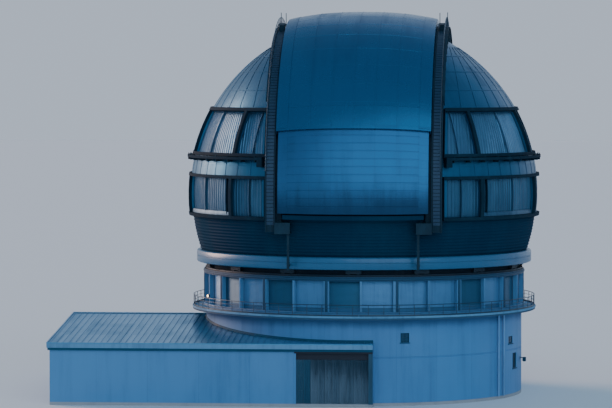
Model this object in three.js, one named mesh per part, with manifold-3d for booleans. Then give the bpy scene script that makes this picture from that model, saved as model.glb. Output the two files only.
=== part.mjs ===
// A large observatory: a turning dome with a slit and two sliding shutters, on a round base
// building with a gallery, with a low gabled annex on its left side.
//
// Every size below is the real building's, in metres. The exported group is the 1:2 model in
// millimetres, with +Z up, the ground at Z = 0 and the dome's turning axis on the Z axis.
// The front, where the slit looks when the dome is at rest, is towards -Y.
import * as THREE from "three";
import { mergeVertices } from "three/addons/utils/BufferGeometryUtils.js";
import Module from "manifold-3d";

const wasm = await Module();
wasm.setup();

const MODEL_SCALE = 1 / 2;
const MM_PER_METRE = 1000;

// Clearances: between faces that meet, and between pieces that slide past each other.
const FIT = 0.0006;
const RUNNING = 0.06;

// The dome's sphere, from which the rest of the dome is set out.
const SKIN_RADIUS = 17.25;
const SKIN_THICKNESS = 0.2;
const CENTRE_HEIGHT = 19.7;

// Levels of the building, above the ground.
const SLAB_TOP = 0.3;
const DECK_UNDERSIDE = 8.3;
const DECK_TOP = 8.65;
const DRUM_TOP = 12.3;
const TRACK_TOP = 12.5;
// Walls stand just clear of the slab and the deck.
const WALL_FOOT = SLAB_TOP + FIT;
const WALL_HEAD = DECK_UNDERSIDE - FIT;
const DECK_FOOT = DECK_TOP + FIT;
const DRUM_HEAD = DRUM_TOP - FIT;

// Radii of the building.
const BASE_RADIUS = 15.7;
const BASE_WALL = 0.4;
const DECK_RADIUS = 17.1;
const DRUM_RADIUS = 15.9;
const DRUM_WALL = 0.4;

// Facets in a whole turn, about the upright axis and about the shutters' level axis.
const ROUND_FACETS = 36;
const ARCH_FACETS = 48;
// Further out than anything, for cutting tools.
const FAR = 60;

// An angle about the upright axis is an azimuth, 0 at the front and 90 on the right.
const UPRIGHT = {
  zero: new THREE.Vector3(0, -1, 0),
  quarter: new THREE.Vector3(1, 0, 0),
  axis: new THREE.Vector3(0, 0, 1),
};
// An angle about the level axis is an elevation, 0 at the front, 90 overhead and 180 at the back.
// Heights along this axis run towards -X.
const LEVEL = {
  zero: new THREE.Vector3(0, -1, 0),
  quarter: new THREE.Vector3(0, 0, 1),
  axis: new THREE.Vector3(-1, 0, 0),
};

const radians = THREE.MathUtils.degToRad;

// A closed geometry as a solid that can be cut and joined.
function solidOf(geometry) {
  const bare = new THREE.BufferGeometry();
  bare.setAttribute("position", geometry.getAttribute("position"));
  bare.setIndex(geometry.index);
  const merged = mergeVertices(bare, 1e-5);
  return new wasm.Manifold(
    new wasm.Mesh({
      numProp: 3,
      vertProperties: merged.attributes.position.array,
      triVerts: new Uint32Array(merged.index.array),
    }),
  );
}

// A solid as a geometry with flat faces.
function geometryOf(solid) {
  const { vertProperties, triVerts } = solid.getMesh();
  const indexed = new THREE.BufferGeometry();
  indexed.setAttribute("position", new THREE.BufferAttribute(new Float32Array(vertProperties), 3));
  indexed.setIndex(new THREE.BufferAttribute(new Uint32Array(triVerts), 1));
  const flat = indexed.toNonIndexed();
  flat.computeVertexNormals();
  return flat;
}

// The outline turned, if need be, so that it runs anticlockwise.
function anticlockwise(outline) {
  const area = THREE.ShapeUtils.area(outline.map(([x, y]) => new THREE.Vector2(x, y)));
  return area > 0 ? outline : [...outline].reverse();
}

// A ring whose section is a closed outline of [radius, height], all the way round an axis.
function ring(outline, about = UPRIGHT, facets = ROUND_FACETS) {
  const section = anticlockwise(outline).map(([r, h]) => new THREE.Vector2(r, h));
  section.push(section[0].clone());
  const geometry = new THREE.LatheGeometry(section, facets);
  geometry.applyMatrix4(new THREE.Matrix4().makeBasis(about.quarter, about.axis, about.zero));
  return solidOf(geometry);
}

// A ring of rectangular section about the upright axis.
function band(innerRadius, outerRadius, low, high) {
  return ring([[innerRadius, low], [outerRadius, low], [outerRadius, high], [innerRadius, high]]);
}

// A bar whose section is an outline of [toward zero, toward quarter], between two heights.
function prism(outline, low, high, about = UPRIGHT) {
  const shape = new THREE.Shape(anticlockwise(outline).map(([x, y]) => new THREE.Vector2(x, y)));
  const geometry = new THREE.ExtrudeGeometry(shape, { depth: high - low, bevelEnabled: false });
  geometry.translate(0, 0, low);
  geometry.applyMatrix4(new THREE.Matrix4().makeBasis(about.zero, about.quarter, about.axis));
  return solidOf(geometry);
}

// A cutting tool: the slice of all space between two angles about an axis, and two heights.
function slice(fromAngle, toAngle, low = -FAR, high = FAR, about = UPRIGHT) {
  const outline = [[0, 0]];
  const steps = Math.ceil((toAngle - fromAngle) / 45);
  for (let i = 0; i <= steps; i++) {
    const angle = radians(fromAngle + ((toAngle - fromAngle) * i) / steps);
    outline.push([FAR * Math.cos(angle), FAR * Math.sin(angle)]);
  }
  return prism(outline, low, high, about);
}

// A solid disc, with the same facets as the bands.
function disc(radius, low, high) {
  const outline = [];
  for (let i = 0; i < ROUND_FACETS; i++) {
    const angle = radians((360 / ROUND_FACETS) * i);
    outline.push([radius * Math.cos(angle), radius * Math.sin(angle)]);
  }
  return prism(outline, low, high);
}

// A box between two opposite corners.
function block(x0, x1, y0, y1, z0, z1) {
  const geometry = new THREE.BoxGeometry(x1 - x0, y1 - y0, z1 - z0);
  geometry.translate((x0 + x1) / 2, (y0 + y1) / 2, (z0 + z1) / 2);
  return solidOf(geometry);
}

// The same box on the right side (1) or mirrored to the left side (-1).
function sideBlock(side, x0, x1, y0, y1, z0, z1) {
  return side > 0 ? block(x0, x1, y0, y1, z0, z1) : block(-x1, -x0, y0, y1, z0, z1);
}

// A box of a size, set at a radius and an azimuth, with its long side across the radius.
function blockAtAzimuth(azimuth, radius, depth, width, z0, z1) {
  const geometry = new THREE.BoxGeometry(width, depth, z1 - z0);
  geometry.translate(0, -radius, (z0 + z1) / 2);
  geometry.rotateZ(radians(azimuth));
  return solidOf(geometry);
}

function union(solids) {
  return solids.reduce((whole, next) => whole.add(next));
}

// Colours and finishes.
function finish(color, roughness, metalness) {
  return new THREE.MeshStandardMaterial({ color, roughness, metalness, flatShading: true });
}
const CLADDING = finish(0x337094, 0.35, 0.8);
const SHUTTER_CLADDING = finish(0x1a618a, 0.35, 0.8);
const DARK_STEEL = finish(0x142433, 0.6, 0.5);
const SKIRT_CLADDING = finish(0x0d2b47, 0.5, 0.6);
const WINDOW_PANEL = finish(0x407394, 0.45, 0.6);
const RING_PAINT = finish(0x80abd4, 0.45, 0.3);
const WHITE_RENDER = finish(0x6b99c9, 0.8, 0.0);
const ROOF_SHEET = finish(0x4d80a8, 0.4, 0.4);
const ROLLER_SHUTTER = finish(0x6699cc, 0.5, 0.5);
const CONCRETE = finish(0x73808f, 0.9, 0.0);
const RAILING_STEEL = finish(0x2b4559, 0.5, 0.6);
const DARK_GLASS = finish(0x10202c, 0.1, 0.0);

const building = new THREE.Group();
const dome = new THREE.Group();
dome.position.z = CENTRE_HEIGHT;

function piece(group, name, solid, material) {
  const mesh = new THREE.Mesh(geometryOf(solid), material);
  mesh.name = name;
  group.add(mesh);
}

// ANNEX SIZES. A gabled block as deep as the round building, with its ridge on the dome's axis.
const ANNEX = {
  left: -29,
  right: 1.9,
  front: 16.8,
  wall: 0.4,
  eaves: 5.95,
  ridge: 7.6,
  roofThickness: 0.3,
  overhang: 0.15,
};
const ROOF_SLOPE = (ANNEX.ridge - ANNEX.eaves) / ANNEX.front;
const EAVES_EDGE = ANNEX.front + ANNEX.overhang;
const VERGE_EDGE = ANNEX.left - ANNEX.overhang;

// Height of the roof's top surface at a distance from the ridge.
function roofHeight(fromRidge) {
  return ANNEX.ridge - ROOF_SLOPE * fromRidge;
}

// The doorway: a folding door in the annex's front wall, in front of an opening in the round wall.
const DOORWAY = { left: -5.4, right: 1.5, top: 5.1 };

// The round building's outside, a little oversize, for cutting what meets it.
const aroundBase = disc(BASE_RADIUS + FIT, -1, DECK_UNDERSIDE);

// GROUND SLABS under the round building and the annex, flush with their walls.
piece(building, "base_slab", disc(BASE_RADIUS, 0, SLAB_TOP), CONCRETE);
piece(
  building,
  "annex_slab",
  block(ANNEX.left, ANNEX.right, -ANNEX.front, ANNEX.front, 0, SLAB_TOP).subtract(aroundBase),
  CONCRETE,
);

// ROUND WALL of the base, in segments: the first is the lintel over the doorway, the rest are
// plain, apart from a few small openings.
const WALL_JOINTS = [-20.7, 5.7, 80, 140, 205, 270, 339.3];
const SMALL_OPENINGS = [
  { name: "window_front", azimuth: 18, width: 0.85, low: 6.05, high: 6.95 },
  { name: "window_right", azimuth: 69.6, width: 1.1, low: 5.25, high: 5.95 },
  { name: "vent_right", azimuth: 74, width: 1.2, low: 2.75, high: 4.25 },
];
const roundWall = band(BASE_RADIUS - BASE_WALL, BASE_RADIUS, WALL_FOOT, WALL_HEAD);
const overDoorway = block(-FAR, FAR, -FAR, FAR, DOORWAY.top, DECK_TOP);
const doorwayCut = block(DOORWAY.left, DOORWAY.right, -FAR, 0, SLAB_TOP - 1, DOORWAY.top);
const smallCuts = SMALL_OPENINGS.map((o) =>
  blockAtAzimuth(o.azimuth, BASE_RADIUS, 2, o.width, o.low, o.high),
);
const piercedWall = roundWall.subtract(union(smallCuts));
for (let i = 0; i + 1 < WALL_JOINTS.length; i++) {
  const halfGap = THREE.MathUtils.radToDeg(FIT / BASE_RADIUS);
  const part = piercedWall.intersect(
    slice(WALL_JOINTS[i] + halfGap, WALL_JOINTS[i + 1] - halfGap),
  );
  if (i === 0) {
    piece(building, "base_wall_lintel", part.intersect(overDoorway), WHITE_RENDER);
  } else {
    piece(building, `base_wall_${i}`, part, WHITE_RENDER);
  }
}

// Panes and the vent's cover fill their openings, a little behind the wall's face.
const PANE_SETBACK = 0.1;
const PANE_THICKNESS = 0.08;
for (const o of SMALL_OPENINGS) {
  const pane = blockAtAzimuth(
    o.azimuth,
    BASE_RADIUS - PANE_SETBACK,
    PANE_THICKNESS,
    o.width - 2 * FIT,
    o.low + FIT,
    o.high - FIT,
  );
  piece(building, `${o.name}_pane`, pane, DARK_GLASS);
}

// DOWNPIPES on the right, from the gallery to the ground, with a bracket into the wall.
const PIPE_RADIUS = 0.09;
const PIPE_STANDOFF = 0.2;
const BRACKET_LEVELS = [2.4, 5.4, 7.8];
function downpipe(azimuth) {
  const pipe = new THREE.CylinderGeometry(
    PIPE_RADIUS,
    PIPE_RADIUS,
    DECK_UNDERSIDE - SLAB_TOP - 2 * FIT,
    8,
  );
  pipe.rotateX(Math.PI / 2);
  pipe.translate(0, -(BASE_RADIUS + PIPE_STANDOFF), (DECK_UNDERSIDE + SLAB_TOP) / 2);
  pipe.rotateZ(radians(azimuth));
  const brackets = BRACKET_LEVELS.map((z) =>
    blockAtAzimuth(azimuth, BASE_RADIUS, 2 * PIPE_STANDOFF, 0.12, z, z + 0.12),
  );
  return union([solidOf(pipe), ...brackets]).subtract(aroundBase);
}
piece(building, "downpipe_right_1", downpipe(59), RAILING_STEEL);
piece(building, "downpipe_right_2", downpipe(62.5), RAILING_STEEL);

// WALL LAMP at the right-hand edge: a floodlight box on a short arm.
const LAMP = { azimuth: 83, low: 3.15, high: 3.6, arm: 0.35, depth: 0.3, width: 0.5 };
const lampArm = blockAtAzimuth(
  LAMP.azimuth,
  BASE_RADIUS,
  2 * LAMP.arm,
  0.12,
  LAMP.high - 0.1,
  LAMP.high,
);
const lampBox = blockAtAzimuth(
  LAMP.azimuth,
  BASE_RADIUS + LAMP.arm + LAMP.depth / 2 - 0.05,
  LAMP.depth,
  LAMP.width,
  LAMP.low,
  LAMP.high,
);
piece(building, "wall_lamp", union([lampArm, lampBox]).subtract(aroundBase), DARK_STEEL);

// ANNEX WALLS, with their tops cut to the slope of the roof.
const underRoof = prism(
  [
    [-FAR, -FAR],
    [FAR, -FAR],
    [FAR, roofHeight(FAR) - ANNEX.roofThickness - FIT],
    [0, ANNEX.ridge - ANNEX.roofThickness - FIT],
    [-FAR, roofHeight(FAR) - ANNEX.roofThickness - FIT],
  ],
  -FAR,
  FAR,
  LEVEL,
);

// A long wall with the short return that joins it to the round wall.
function longWall(side) {
  const outer = side * ANNEX.front;
  const inner = side * (ANNEX.front - ANNEX.wall);
  const wall = block(
    ANNEX.left,
    ANNEX.right,
    Math.min(outer, inner),
    Math.max(outer, inner),
    WALL_FOOT,
    ANNEX.ridge,
  );
  const end = side * (BASE_RADIUS - 1);
  const back = block(
    ANNEX.right - ANNEX.wall,
    ANNEX.right,
    Math.min(inner, end),
    Math.max(inner, end),
    WALL_FOOT,
    ANNEX.ridge,
  );
  return wall.add(back).subtract(aroundBase).intersect(underRoof);
}
piece(building, "annex_front_wall", longWall(-1).subtract(doorwayCut), WHITE_RENDER);
piece(building, "annex_back_wall", longWall(1), WHITE_RENDER);
const gableDepth = ANNEX.front - ANNEX.wall - FIT;
piece(
  building,
  "annex_gable_wall",
  block(
    ANNEX.left,
    ANNEX.left + ANNEX.wall,
    -gableDepth,
    gableDepth,
    WALL_FOOT,
    ANNEX.ridge,
  ).intersect(underRoof),
  WHITE_RENDER,
);

// ANNEX ROOF: two slopes that meet at the ridge, cut round the base building.
function roofSlope(side) {
  const outline = [
    [FIT, ANNEX.ridge],
    [EAVES_EDGE, roofHeight(EAVES_EDGE)],
    [EAVES_EDGE, roofHeight(EAVES_EDGE) - ANNEX.roofThickness],
    [FIT, ANNEX.ridge - ANNEX.roofThickness],
  ].map(([fromRidge, z]) => [side * fromRidge, z]);
  return prism(outline, -ANNEX.right, -VERGE_EDGE, LEVEL).subtract(aroundBase);
}
piece(building, "annex_roof_front", roofSlope(1), ROOF_SHEET);
piece(building, "annex_roof_back", roofSlope(-1), ROOF_SHEET);

// FASCIA: the pale board along both eaves and up the gable.
const FASCIA = { thickness: 0.12, height: 0.75, above: 0.08 };
const fasciaTop = roofHeight(EAVES_EDGE) + FASCIA.above;
function eavesBoard(side) {
  const y0 = side * (EAVES_EDGE + FIT);
  const y1 = side * (EAVES_EDGE + FIT + FASCIA.thickness);
  return block(
    VERGE_EDGE - FIT - FASCIA.thickness,
    ANNEX.right,
    Math.min(y0, y1),
    Math.max(y0, y1),
    fasciaTop - FASCIA.height,
    fasciaTop,
  );
}
const vergeReach = EAVES_EDGE + FIT + FASCIA.thickness;
const vergeBoard = prism(
  [
    [-vergeReach, fasciaTop],
    [0, ANNEX.ridge + FASCIA.above],
    [vergeReach, fasciaTop],
    [vergeReach, fasciaTop - FASCIA.height],
    [0, ANNEX.ridge + FASCIA.above - FASCIA.height],
    [-vergeReach, fasciaTop - FASCIA.height],
  ],
  -VERGE_EDGE + FIT,
  -VERGE_EDGE + FIT + FASCIA.thickness,
  LEVEL,
);
piece(building, "annex_fascia", union([eavesBoard(-1), eavesBoard(1), vergeBoard]), ROOF_SHEET);

// FOLDING DOOR, shut: leaves that zigzag across the doorway, behind the front wall's face.
const LEAVES = 10;
const LEAF_FOLD = 0.12;
const LEAF_THICKNESS = 0.1;
const DOOR_SETBACK = 0.17;
function foldingDoor() {
  const left = DOORWAY.left + FIT;
  const width = (DOORWAY.right - DOORWAY.left - 2 * FIT) / LEAVES;
  const face = ANNEX.front - DOOR_SETBACK;
  const outline = [];
  for (let i = 0; i <= LEAVES; i++) {
    outline.push([face - (i % 2) * LEAF_FOLD, left + i * width]);
  }
  const back = face - LEAF_FOLD - LEAF_THICKNESS;
  outline.push([back, left + LEAVES * width], [back, left]);
  return prism(outline, WALL_FOOT, DOORWAY.top - FIT);
}
piece(building, "folding_door", foldingDoor(), ROLLER_SHUTTER);

// GALLERY DECK: the observing floor, which reaches out past the wall as a gallery.
piece(building, "gallery_deck", disc(DECK_RADIUS, DECK_UNDERSIDE, DECK_TOP), CONCRETE);

// GALLERY RAILING in four quarters: square posts, a handrail and a middle rail.
const RAILING = { height: 1.1, bar: 0.07, middle: 0.55, inset: 0.1, quarters: 4 };
const railingRadius = DECK_RADIUS - RAILING.inset;
const facetAngle = 360 / ROUND_FACETS;
const postRadius = railingRadius * Math.cos(radians(facetAngle / 2)) - RAILING.bar / 2;
const POST_WIDTH = 0.05;
const handrails = [RAILING.height, RAILING.middle].map((top) =>
  band(railingRadius - RAILING.bar, railingRadius, DECK_TOP + top - RAILING.bar, DECK_TOP + top),
);
const posts = [];
for (let i = 0; i < ROUND_FACETS; i++) {
  posts.push(
    blockAtAzimuth(
      facetAngle * (i + 0.5),
      postRadius,
      POST_WIDTH,
      POST_WIDTH,
      DECK_FOOT,
      DECK_TOP + RAILING.height - RAILING.bar / 2,
    ),
  );
}
const railingRing = union([...handrails, ...posts]);
for (let i = 0; i < RAILING.quarters; i++) {
  const from = (360 / RAILING.quarters) * i + facetAngle * 0.2;
  const halfGap = THREE.MathUtils.radToDeg(FIT / railingRadius);
  const quarter = railingRing.intersect(
    slice(from + halfGap, from + 360 / RAILING.quarters - halfGap),
  );
  piece(building, `gallery_railing_${i + 1}`, quarter, RAILING_STEEL);
}

// DRUM: a ring of columns between bays, with a sill and a ring beam, in three segments.
const DRUM = {
  bays: 15,
  columnHalf: 0.9,
  mullionHalf: 0.4,
  sill: 0.3,
  head: 0.3,
  segments: 3,
  start: 14.6,
};
const bayAngle = 360 / DRUM.bays;
const drumRing = band(DRUM_RADIUS - DRUM_WALL, DRUM_RADIUS, DECK_FOOT, DRUM_HEAD);
const bayOpenings = [];
for (let i = 0; i < DRUM.bays; i++) {
  const from = DRUM.start + bayAngle * i;
  const middle = from + bayAngle / 2;
  const low = DECK_TOP + DRUM.sill;
  const high = DRUM_TOP - DRUM.head;
  bayOpenings.push(slice(from + DRUM.columnHalf, middle - DRUM.mullionHalf, low, high));
  bayOpenings.push(slice(middle + DRUM.mullionHalf, from + bayAngle - DRUM.columnHalf, low, high));
}
const openDrum = drumRing.subtract(union(bayOpenings));
// The roller shutters hang just inside the columns, as one curtain to each segment.
const CURTAIN_THICKNESS = 0.08;
const curtainOuter = DRUM_RADIUS - DRUM_WALL - FIT;
const curtain = band(curtainOuter - CURTAIN_THICKNESS, curtainOuter, DECK_FOOT, DRUM_HEAD);
for (let i = 0; i < DRUM.segments; i++) {
  const turn = 360 / DRUM.segments;
  const from = DRUM.start + turn * i;
  const halfGap = THREE.MathUtils.radToDeg(FIT / DRUM_RADIUS);
  const cut = slice(from + halfGap, from + turn - halfGap);
  piece(building, `drum_columns_${i + 1}`, openDrum.intersect(cut), WHITE_RENDER);
  piece(building, `drum_roller_shutters_${i + 1}`, curtain.intersect(cut), ROLLER_SHUTTER);
}

// DOME TRACK: the ring that the dome's wheels run on.
const TRACK = { inner: 15.52, outer: 15.88 };
piece(building, "dome_track", band(TRACK.inner, TRACK.outer, DRUM_TOP, TRACK_TOP), DARK_STEEL);

// From here on, heights are above the sphere's centre, because the dome's group stands there.
const trackLevel = TRACK_TOP - CENTRE_HEIGHT;
const RING_BEAM = { inner: 15.45, outer: 16.65, low: -6.7, high: -5.5 };
const BOGIES = { count: 15, radius: 15.7, depth: 0.34, width: 1.5 };

// RING BEAM, with the wheel bogies under it.
function ringBeam() {
  const { inner, outer, low, high } = RING_BEAM;
  const bogies = [];
  for (let i = 0; i < BOGIES.count; i++) {
    bogies.push(
      blockAtAzimuth(
        (360 / BOGIES.count) * i,
        BOGIES.radius,
        BOGIES.depth,
        BOGIES.width,
        trackLevel + FIT,
        low + 0.1,
      ),
    );
  }
  return union([band(inner, outer, low, high), ...bogies]);
}
piece(dome, "ring_beam", ringBeam(), RING_PAINT);

// SPHERE. Every shell of the dome is cut from a ball shell with the same facets, so that shells
// of different radii nest.
const FACET_ELEVATION = 10;
const BALL_FROM = -30;
const BALL_TO = 70;
function ballShell(innerRadius, outerRadius) {
  const outline = [];
  for (let e = BALL_FROM; e <= BALL_TO; e += FACET_ELEVATION) {
    outline.push([outerRadius * Math.cos(radians(e)), outerRadius * Math.sin(radians(e))]);
  }
  for (let e = BALL_TO; e >= BALL_FROM; e -= FACET_ELEVATION) {
    outline.push([innerRadius * Math.cos(radians(e)), innerRadius * Math.sin(radians(e))]);
  }
  return ring(outline);
}

// ARCH GIRDERS carry the shutters over the dome. Each is a deep box with an inner ledge, the
// rail, that the shutters' shoes run on.
const ARCH = {
  inner: 7.4,
  outer: 8.4,
  bottom: 14.3,
  top: 16.6,
  frontFoot: -11,
  backFoot: 191,
  ledgeInner: 6.8,
  ledgeBottom: 15.9,
  ledgeTop: 16.15,
};

// A ring of rectangular section about the level axis, on the right (1) or left (-1) side.
function archBand(side, x0, x1, bottom, top) {
  const outline = [[bottom, -side * x0], [top, -side * x0], [top, -side * x1], [bottom, -side * x1]];
  return ring(outline, LEVEL, ARCH_FACETS);
}

function archSlice(from, to) {
  return slice(from, to, -FAR, FAR, LEVEL);
}

// The rail's foot at the front: a bracket under the shutter's corner, and a thin leg that comes
// down in front of the ring beam.
const FOOT = { inner: 5.95, low: -3.3, high: -2.2, front: 16.9, back: 15.4 };
const LEG = { inner: 6.05, outer: 6.3, front: 16.6, back: 16.35, low: -6.75 };
const LEG_TIE = { low: -6.4, high: -6.2 };
// Inside the skirt, a raking post carries each end of a girder down to the ring beam.
const POST = { inner: 7.45, outer: 7.95 };
POST.outline = [
  [14.45, -1.6],
  [13.1, RING_BEAM.high + FIT],
  [13.8, RING_BEAM.high + FIT],
  [14.45, -2.4],
];

function archGirder(side) {
  const { inner, outer, bottom, top, frontFoot, backFoot } = ARCH;
  const box = archBand(side, inner, outer, bottom, top);
  const ledge = archBand(side, ARCH.ledgeInner, inner + 0.1, ARCH.ledgeBottom, ARCH.ledgeTop);
  const girder = box.add(ledge).intersect(archSlice(frontFoot, backFoot));
  const bracket = sideBlock(side, FOOT.inner, inner + 0.1, -FOOT.front, -FOOT.back, FOOT.low, FOOT.high);
  const leg = sideBlock(side, LEG.inner, LEG.outer, -LEG.front, -LEG.back, LEG.low, FOOT.low + 0.1);
  const tie = sideBlock(side, LEG.inner, LEG.outer, -LEG.front, 0, LEG_TIE.low, LEG_TIE.high);
  const outsideRing = tie.subtract(disc(RING_BEAM.outer + FIT, RING_BEAM.low, RING_BEAM.high));
  const front = union([bracket, leg, outsideRing]).subtract(
    ballShell(POST.outline[0][0], SKIN_RADIUS + FIT),
  );
  const posts = [1, -1].map((end) =>
    prism(
      POST.outline.map(([y, z]) => [end * y, z]),
      Math.min(-side * POST.inner, -side * POST.outer),
      Math.max(-side * POST.inner, -side * POST.outer),
      LEVEL,
    ),
  );
  return union([girder, front, ...posts]);
}

for (const [side, name] of [[1, "right"], [-1, "left"]]) {
  piece(dome, `arch_girder_${name}`, archGirder(side), DARK_STEEL);
}

// What the girders take up, a little oversize, for notching the skirt.
const girderSpace = union(
  [1, -1].map((side) =>
    archBand(side, ARCH.inner - FIT, ARCH.outer + FIT, ARCH.bottom - FIT, ARCH.top + FIT).intersect(
      archSlice(ARCH.frontFoot - 0.003, ARCH.backFoot + 0.003),
    ),
  ),
);

// SKIRT: the dark lower zone of the sphere, from the ring beam to the lower windows. Between the
// girders at the front it rises a little, as the slit's sill.
const SKIRT = { radius: 17.15, top: -2.05, sillTop: -1.35 };
const skirtShell = ballShell(SKIRT.radius - SKIN_THICKNESS, SKIRT.radius);
const skirtZone = skirtShell.intersect(
  block(-FAR, FAR, -FAR, FAR, RING_BEAM.high + FIT, SKIRT.top - FIT),
);
const sillReach = ARCH.inner - FIT;
const sillZone = skirtShell.intersect(
  block(-sillReach, sillReach, -FAR, 0, SKIRT.top - 0.5, SKIRT.sillTop),
);

// SHUTTERS. Their section is a channel with a crowned web, turned about the level axis.
const CROWN_RISE = 0.75;
const SHUTTER_SKIN = 0.15;
const UPPER = { half: 7.35, edge: 17.3, from: 21.9, to: 110, shoes: [30, 105] };
const LOWER = {
  half: UPPER.half - SHUTTER_SKIN - RUNNING,
  edge: UPPER.edge - SHUTTER_SKIN - RUNNING,
  from: -4.4,
  to: 25,
  shoes: [0, 22.5],
};
const SHUTTER_FLANGE_BOTTOM = 16.25;
const CROWN_POINTS = 6;

// Distance of a crowned web from the level axis at an offset x from the middle.
function crown(edge, half, x) {
  return edge + CROWN_RISE * (1 - Math.abs(x / half) ** 2.5);
}

function webPoints(edge, half, reach) {
  const points = [];
  for (let i = 0; i <= CROWN_POINTS; i++) {
    const x = reach * (1 - (2 * i) / CROWN_POINTS);
    points.push([crown(edge, half, x), -x]);
  }
  return points;
}

function shutterChannel({ half, edge }) {
  const inside = half - SHUTTER_SKIN;
  const outer = webPoints(edge, half, half);
  const inner = webPoints(edge - SHUTTER_SKIN, half, inside).reverse();
  return ring(
    [
      [SHUTTER_FLANGE_BOTTOM, -half],
      ...outer,
      [SHUTTER_FLANGE_BOTTOM, half],
      [SHUTTER_FLANGE_BOTTOM, inside],
      ...inner,
      [SHUTTER_FLANGE_BOTTOM, -inside],
    ],
    LEVEL,
    ARCH_FACETS,
  );
}

// Shoes stand on the rail with a flat foot, so that they clear it at every angle.
const SHOE = { length: 1.0, height: 0.35 };
function shutterShoes({ half, shoes }) {
  const made = [];
  for (const elevation of shoes) {
    for (const side of [1, -1]) {
      const geometry = new THREE.BoxGeometry(SHUTTER_SKIN, SHOE.height, SHOE.length);
      geometry.translate(
        side * (half - SHUTTER_SKIN / 2),
        -(ARCH.ledgeTop + FIT + SHOE.height / 2),
        0,
      );
      geometry.rotateX(-radians(elevation));
      made.push(solidOf(geometry));
    }
  }
  return union(made);
}

// A plate across the channel, from clear of the sphere up to the web.
const SEAL_CLEARANCE = 0.1;
function endPlate({ half, edge }, from, to) {
  const reach = half - SHUTTER_SKIN / 2;
  const outer = webPoints(edge - SHUTTER_SKIN / 2, half, reach);
  const inner = outer.map(([, h]) => {
    const sphere = Math.sqrt((SKIN_RADIUS + SEAL_CLEARANCE) ** 2 - h ** 2);
    return [Math.max(sphere, SHUTTER_FLANGE_BOTTOM), h];
  });
  return ring([...outer, ...inner.reverse()], LEVEL, ARCH_FACETS).intersect(archSlice(from, to));
}

const upperShutter = shutterChannel(UPPER)
  .intersect(archSlice(UPPER.from, UPPER.to))
  .add(shutterShoes(UPPER));
const END_PLATE_ANGLE = 0.6;
const lowerShutter = union([
  shutterChannel(LOWER).intersect(archSlice(LOWER.from, LOWER.to)),
  shutterShoes(LOWER),
  endPlate(LOWER, LOWER.from, LOWER.from + END_PLATE_ANGLE),
]);
piece(dome, "upper_shutter", upperShutter, SHUTTER_CLADDING);
piece(dome, "lower_shutter", lowerShutter, SHUTTER_CLADDING);

// CURBS across both ends of the slit, from the shell to just under the lower shutter's web.
const CURB = { reach: 6.7, front: [-6.4, -4.9], back: [108.6, 109.8] };
function curb([from, to]) {
  const points = webPoints(LOWER.edge - SHUTTER_SKIN - RUNNING, LOWER.half, CURB.reach);
  const inner = points.map(([, h]) => [Math.sqrt((SKIRT.radius - 0.1) ** 2 - h ** 2), h]);
  return ring([...points, ...inner.reverse()], LEVEL, ARCH_FACETS).intersect(archSlice(from, to));
}
piece(
  dome,
  "dome_skirt",
  union([skirtZone, sillZone]).subtract(girderSpace).add(curb(CURB.front)),
  SKIRT_CLADDING,
);

// SHELLS with their windows. Each row of windows is the same on both sides of the dome.
const WINDOW_ROWS = {
  upper: { low: 4.2, high: 8.2 },
  lower: { low: -1.75, high: 1.8 },
};
const WINDOW_RAIL = 0.3;
const MULLION_HALF = 0.65;
const WINDOW_JOINTS = [20, 44, 78, 102, 136, 160];
const WINDOW_SIDE_CLEARANCE = 0.4;
const SIDE_REACH = ARCH.outer + FIT;

// A cutting tool: the openings of one row on one side.
function windowOpenings(side, { low, high }) {
  const cuts = [];
  for (let i = 0; i + 1 < WINDOW_JOINTS.length; i++) {
    const from = WINDOW_JOINTS[i] + MULLION_HALF;
    const to = WINDOW_JOINTS[i + 1] - MULLION_HALF;
    cuts.push(side > 0 ? slice(from, to, low, high) : slice(-to, -from, low, high));
  }
  const clearOfArch = ARCH.outer + WINDOW_SIDE_CLEARANCE;
  return union(cuts).intersect(sideBlock(side, clearOfArch, FAR, -FAR, FAR, -FAR, FAR));
}

const skin = ballShell(SKIN_RADIUS - SKIN_THICKNESS, SKIN_RADIUS);
const FRAME_DEPTH = 0.3;
const frameShell = ballShell(SKIN_RADIUS + FIT, SKIN_RADIUS + FRAME_DEPTH);
const PANEL_DEPTH = 0.1;
const panelOuter = SKIN_RADIUS - SKIN_THICKNESS - FIT;
const panelShell = ballShell(panelOuter - PANEL_DEPTH, panelOuter);
// The walkway below the upper windows stands out further than the frames.
const WALKWAY = { depth: 0.65, low: 3.72, high: 3.9 };
const walkwayShell = ballShell(SKIN_RADIUS + FIT, SKIN_RADIUS + WALKWAY.depth);

for (const [side, name] of [[1, "right"], [-1, "left"]]) {
  const sideSpace = (low, high) => sideBlock(side, SIDE_REACH, FAR, -FAR, FAR, low, high);
  const openings = {
    upper: windowOpenings(side, WINDOW_ROWS.upper),
    lower: windowOpenings(side, WINDOW_ROWS.lower),
  };
  const shell = skin
    .intersect(sideSpace(SKIRT.top, FAR))
    .subtract(openings.upper.add(openings.lower));
  piece(dome, `dome_shell_${name}`, shell, CLADDING);
  for (const row of ["upper", "lower"]) {
    const { low, high } = WINDOW_ROWS[row];
    let frame = frameShell
      .intersect(sideSpace(low - WINDOW_RAIL, high + WINDOW_RAIL))
      .subtract(openings[row]);
    if (row === "upper") {
      frame = frame.add(walkwayShell.intersect(sideSpace(WALKWAY.low, WALKWAY.high)));
    }
    piece(dome, `window_frame_${row}_${name}`, frame, DARK_STEEL);
    const panel = panelShell.intersect(sideSpace(low - 0.25, high + 0.25));
    piece(dome, `window_panels_${row}_${name}`, panel, WINDOW_PANEL);
  }
}

// BACK SHELL: the plain cladding between the girders, where the open shutters park.
const backShell = skin
  .intersect(block(-sillReach, sillReach, 0, FAR, SKIRT.top, FAR))
  .intersect(archSlice(CURB.back[0], 270));
piece(dome, "dome_shell_back", backShell.add(curb(CURB.back)), CLADDING);

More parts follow.
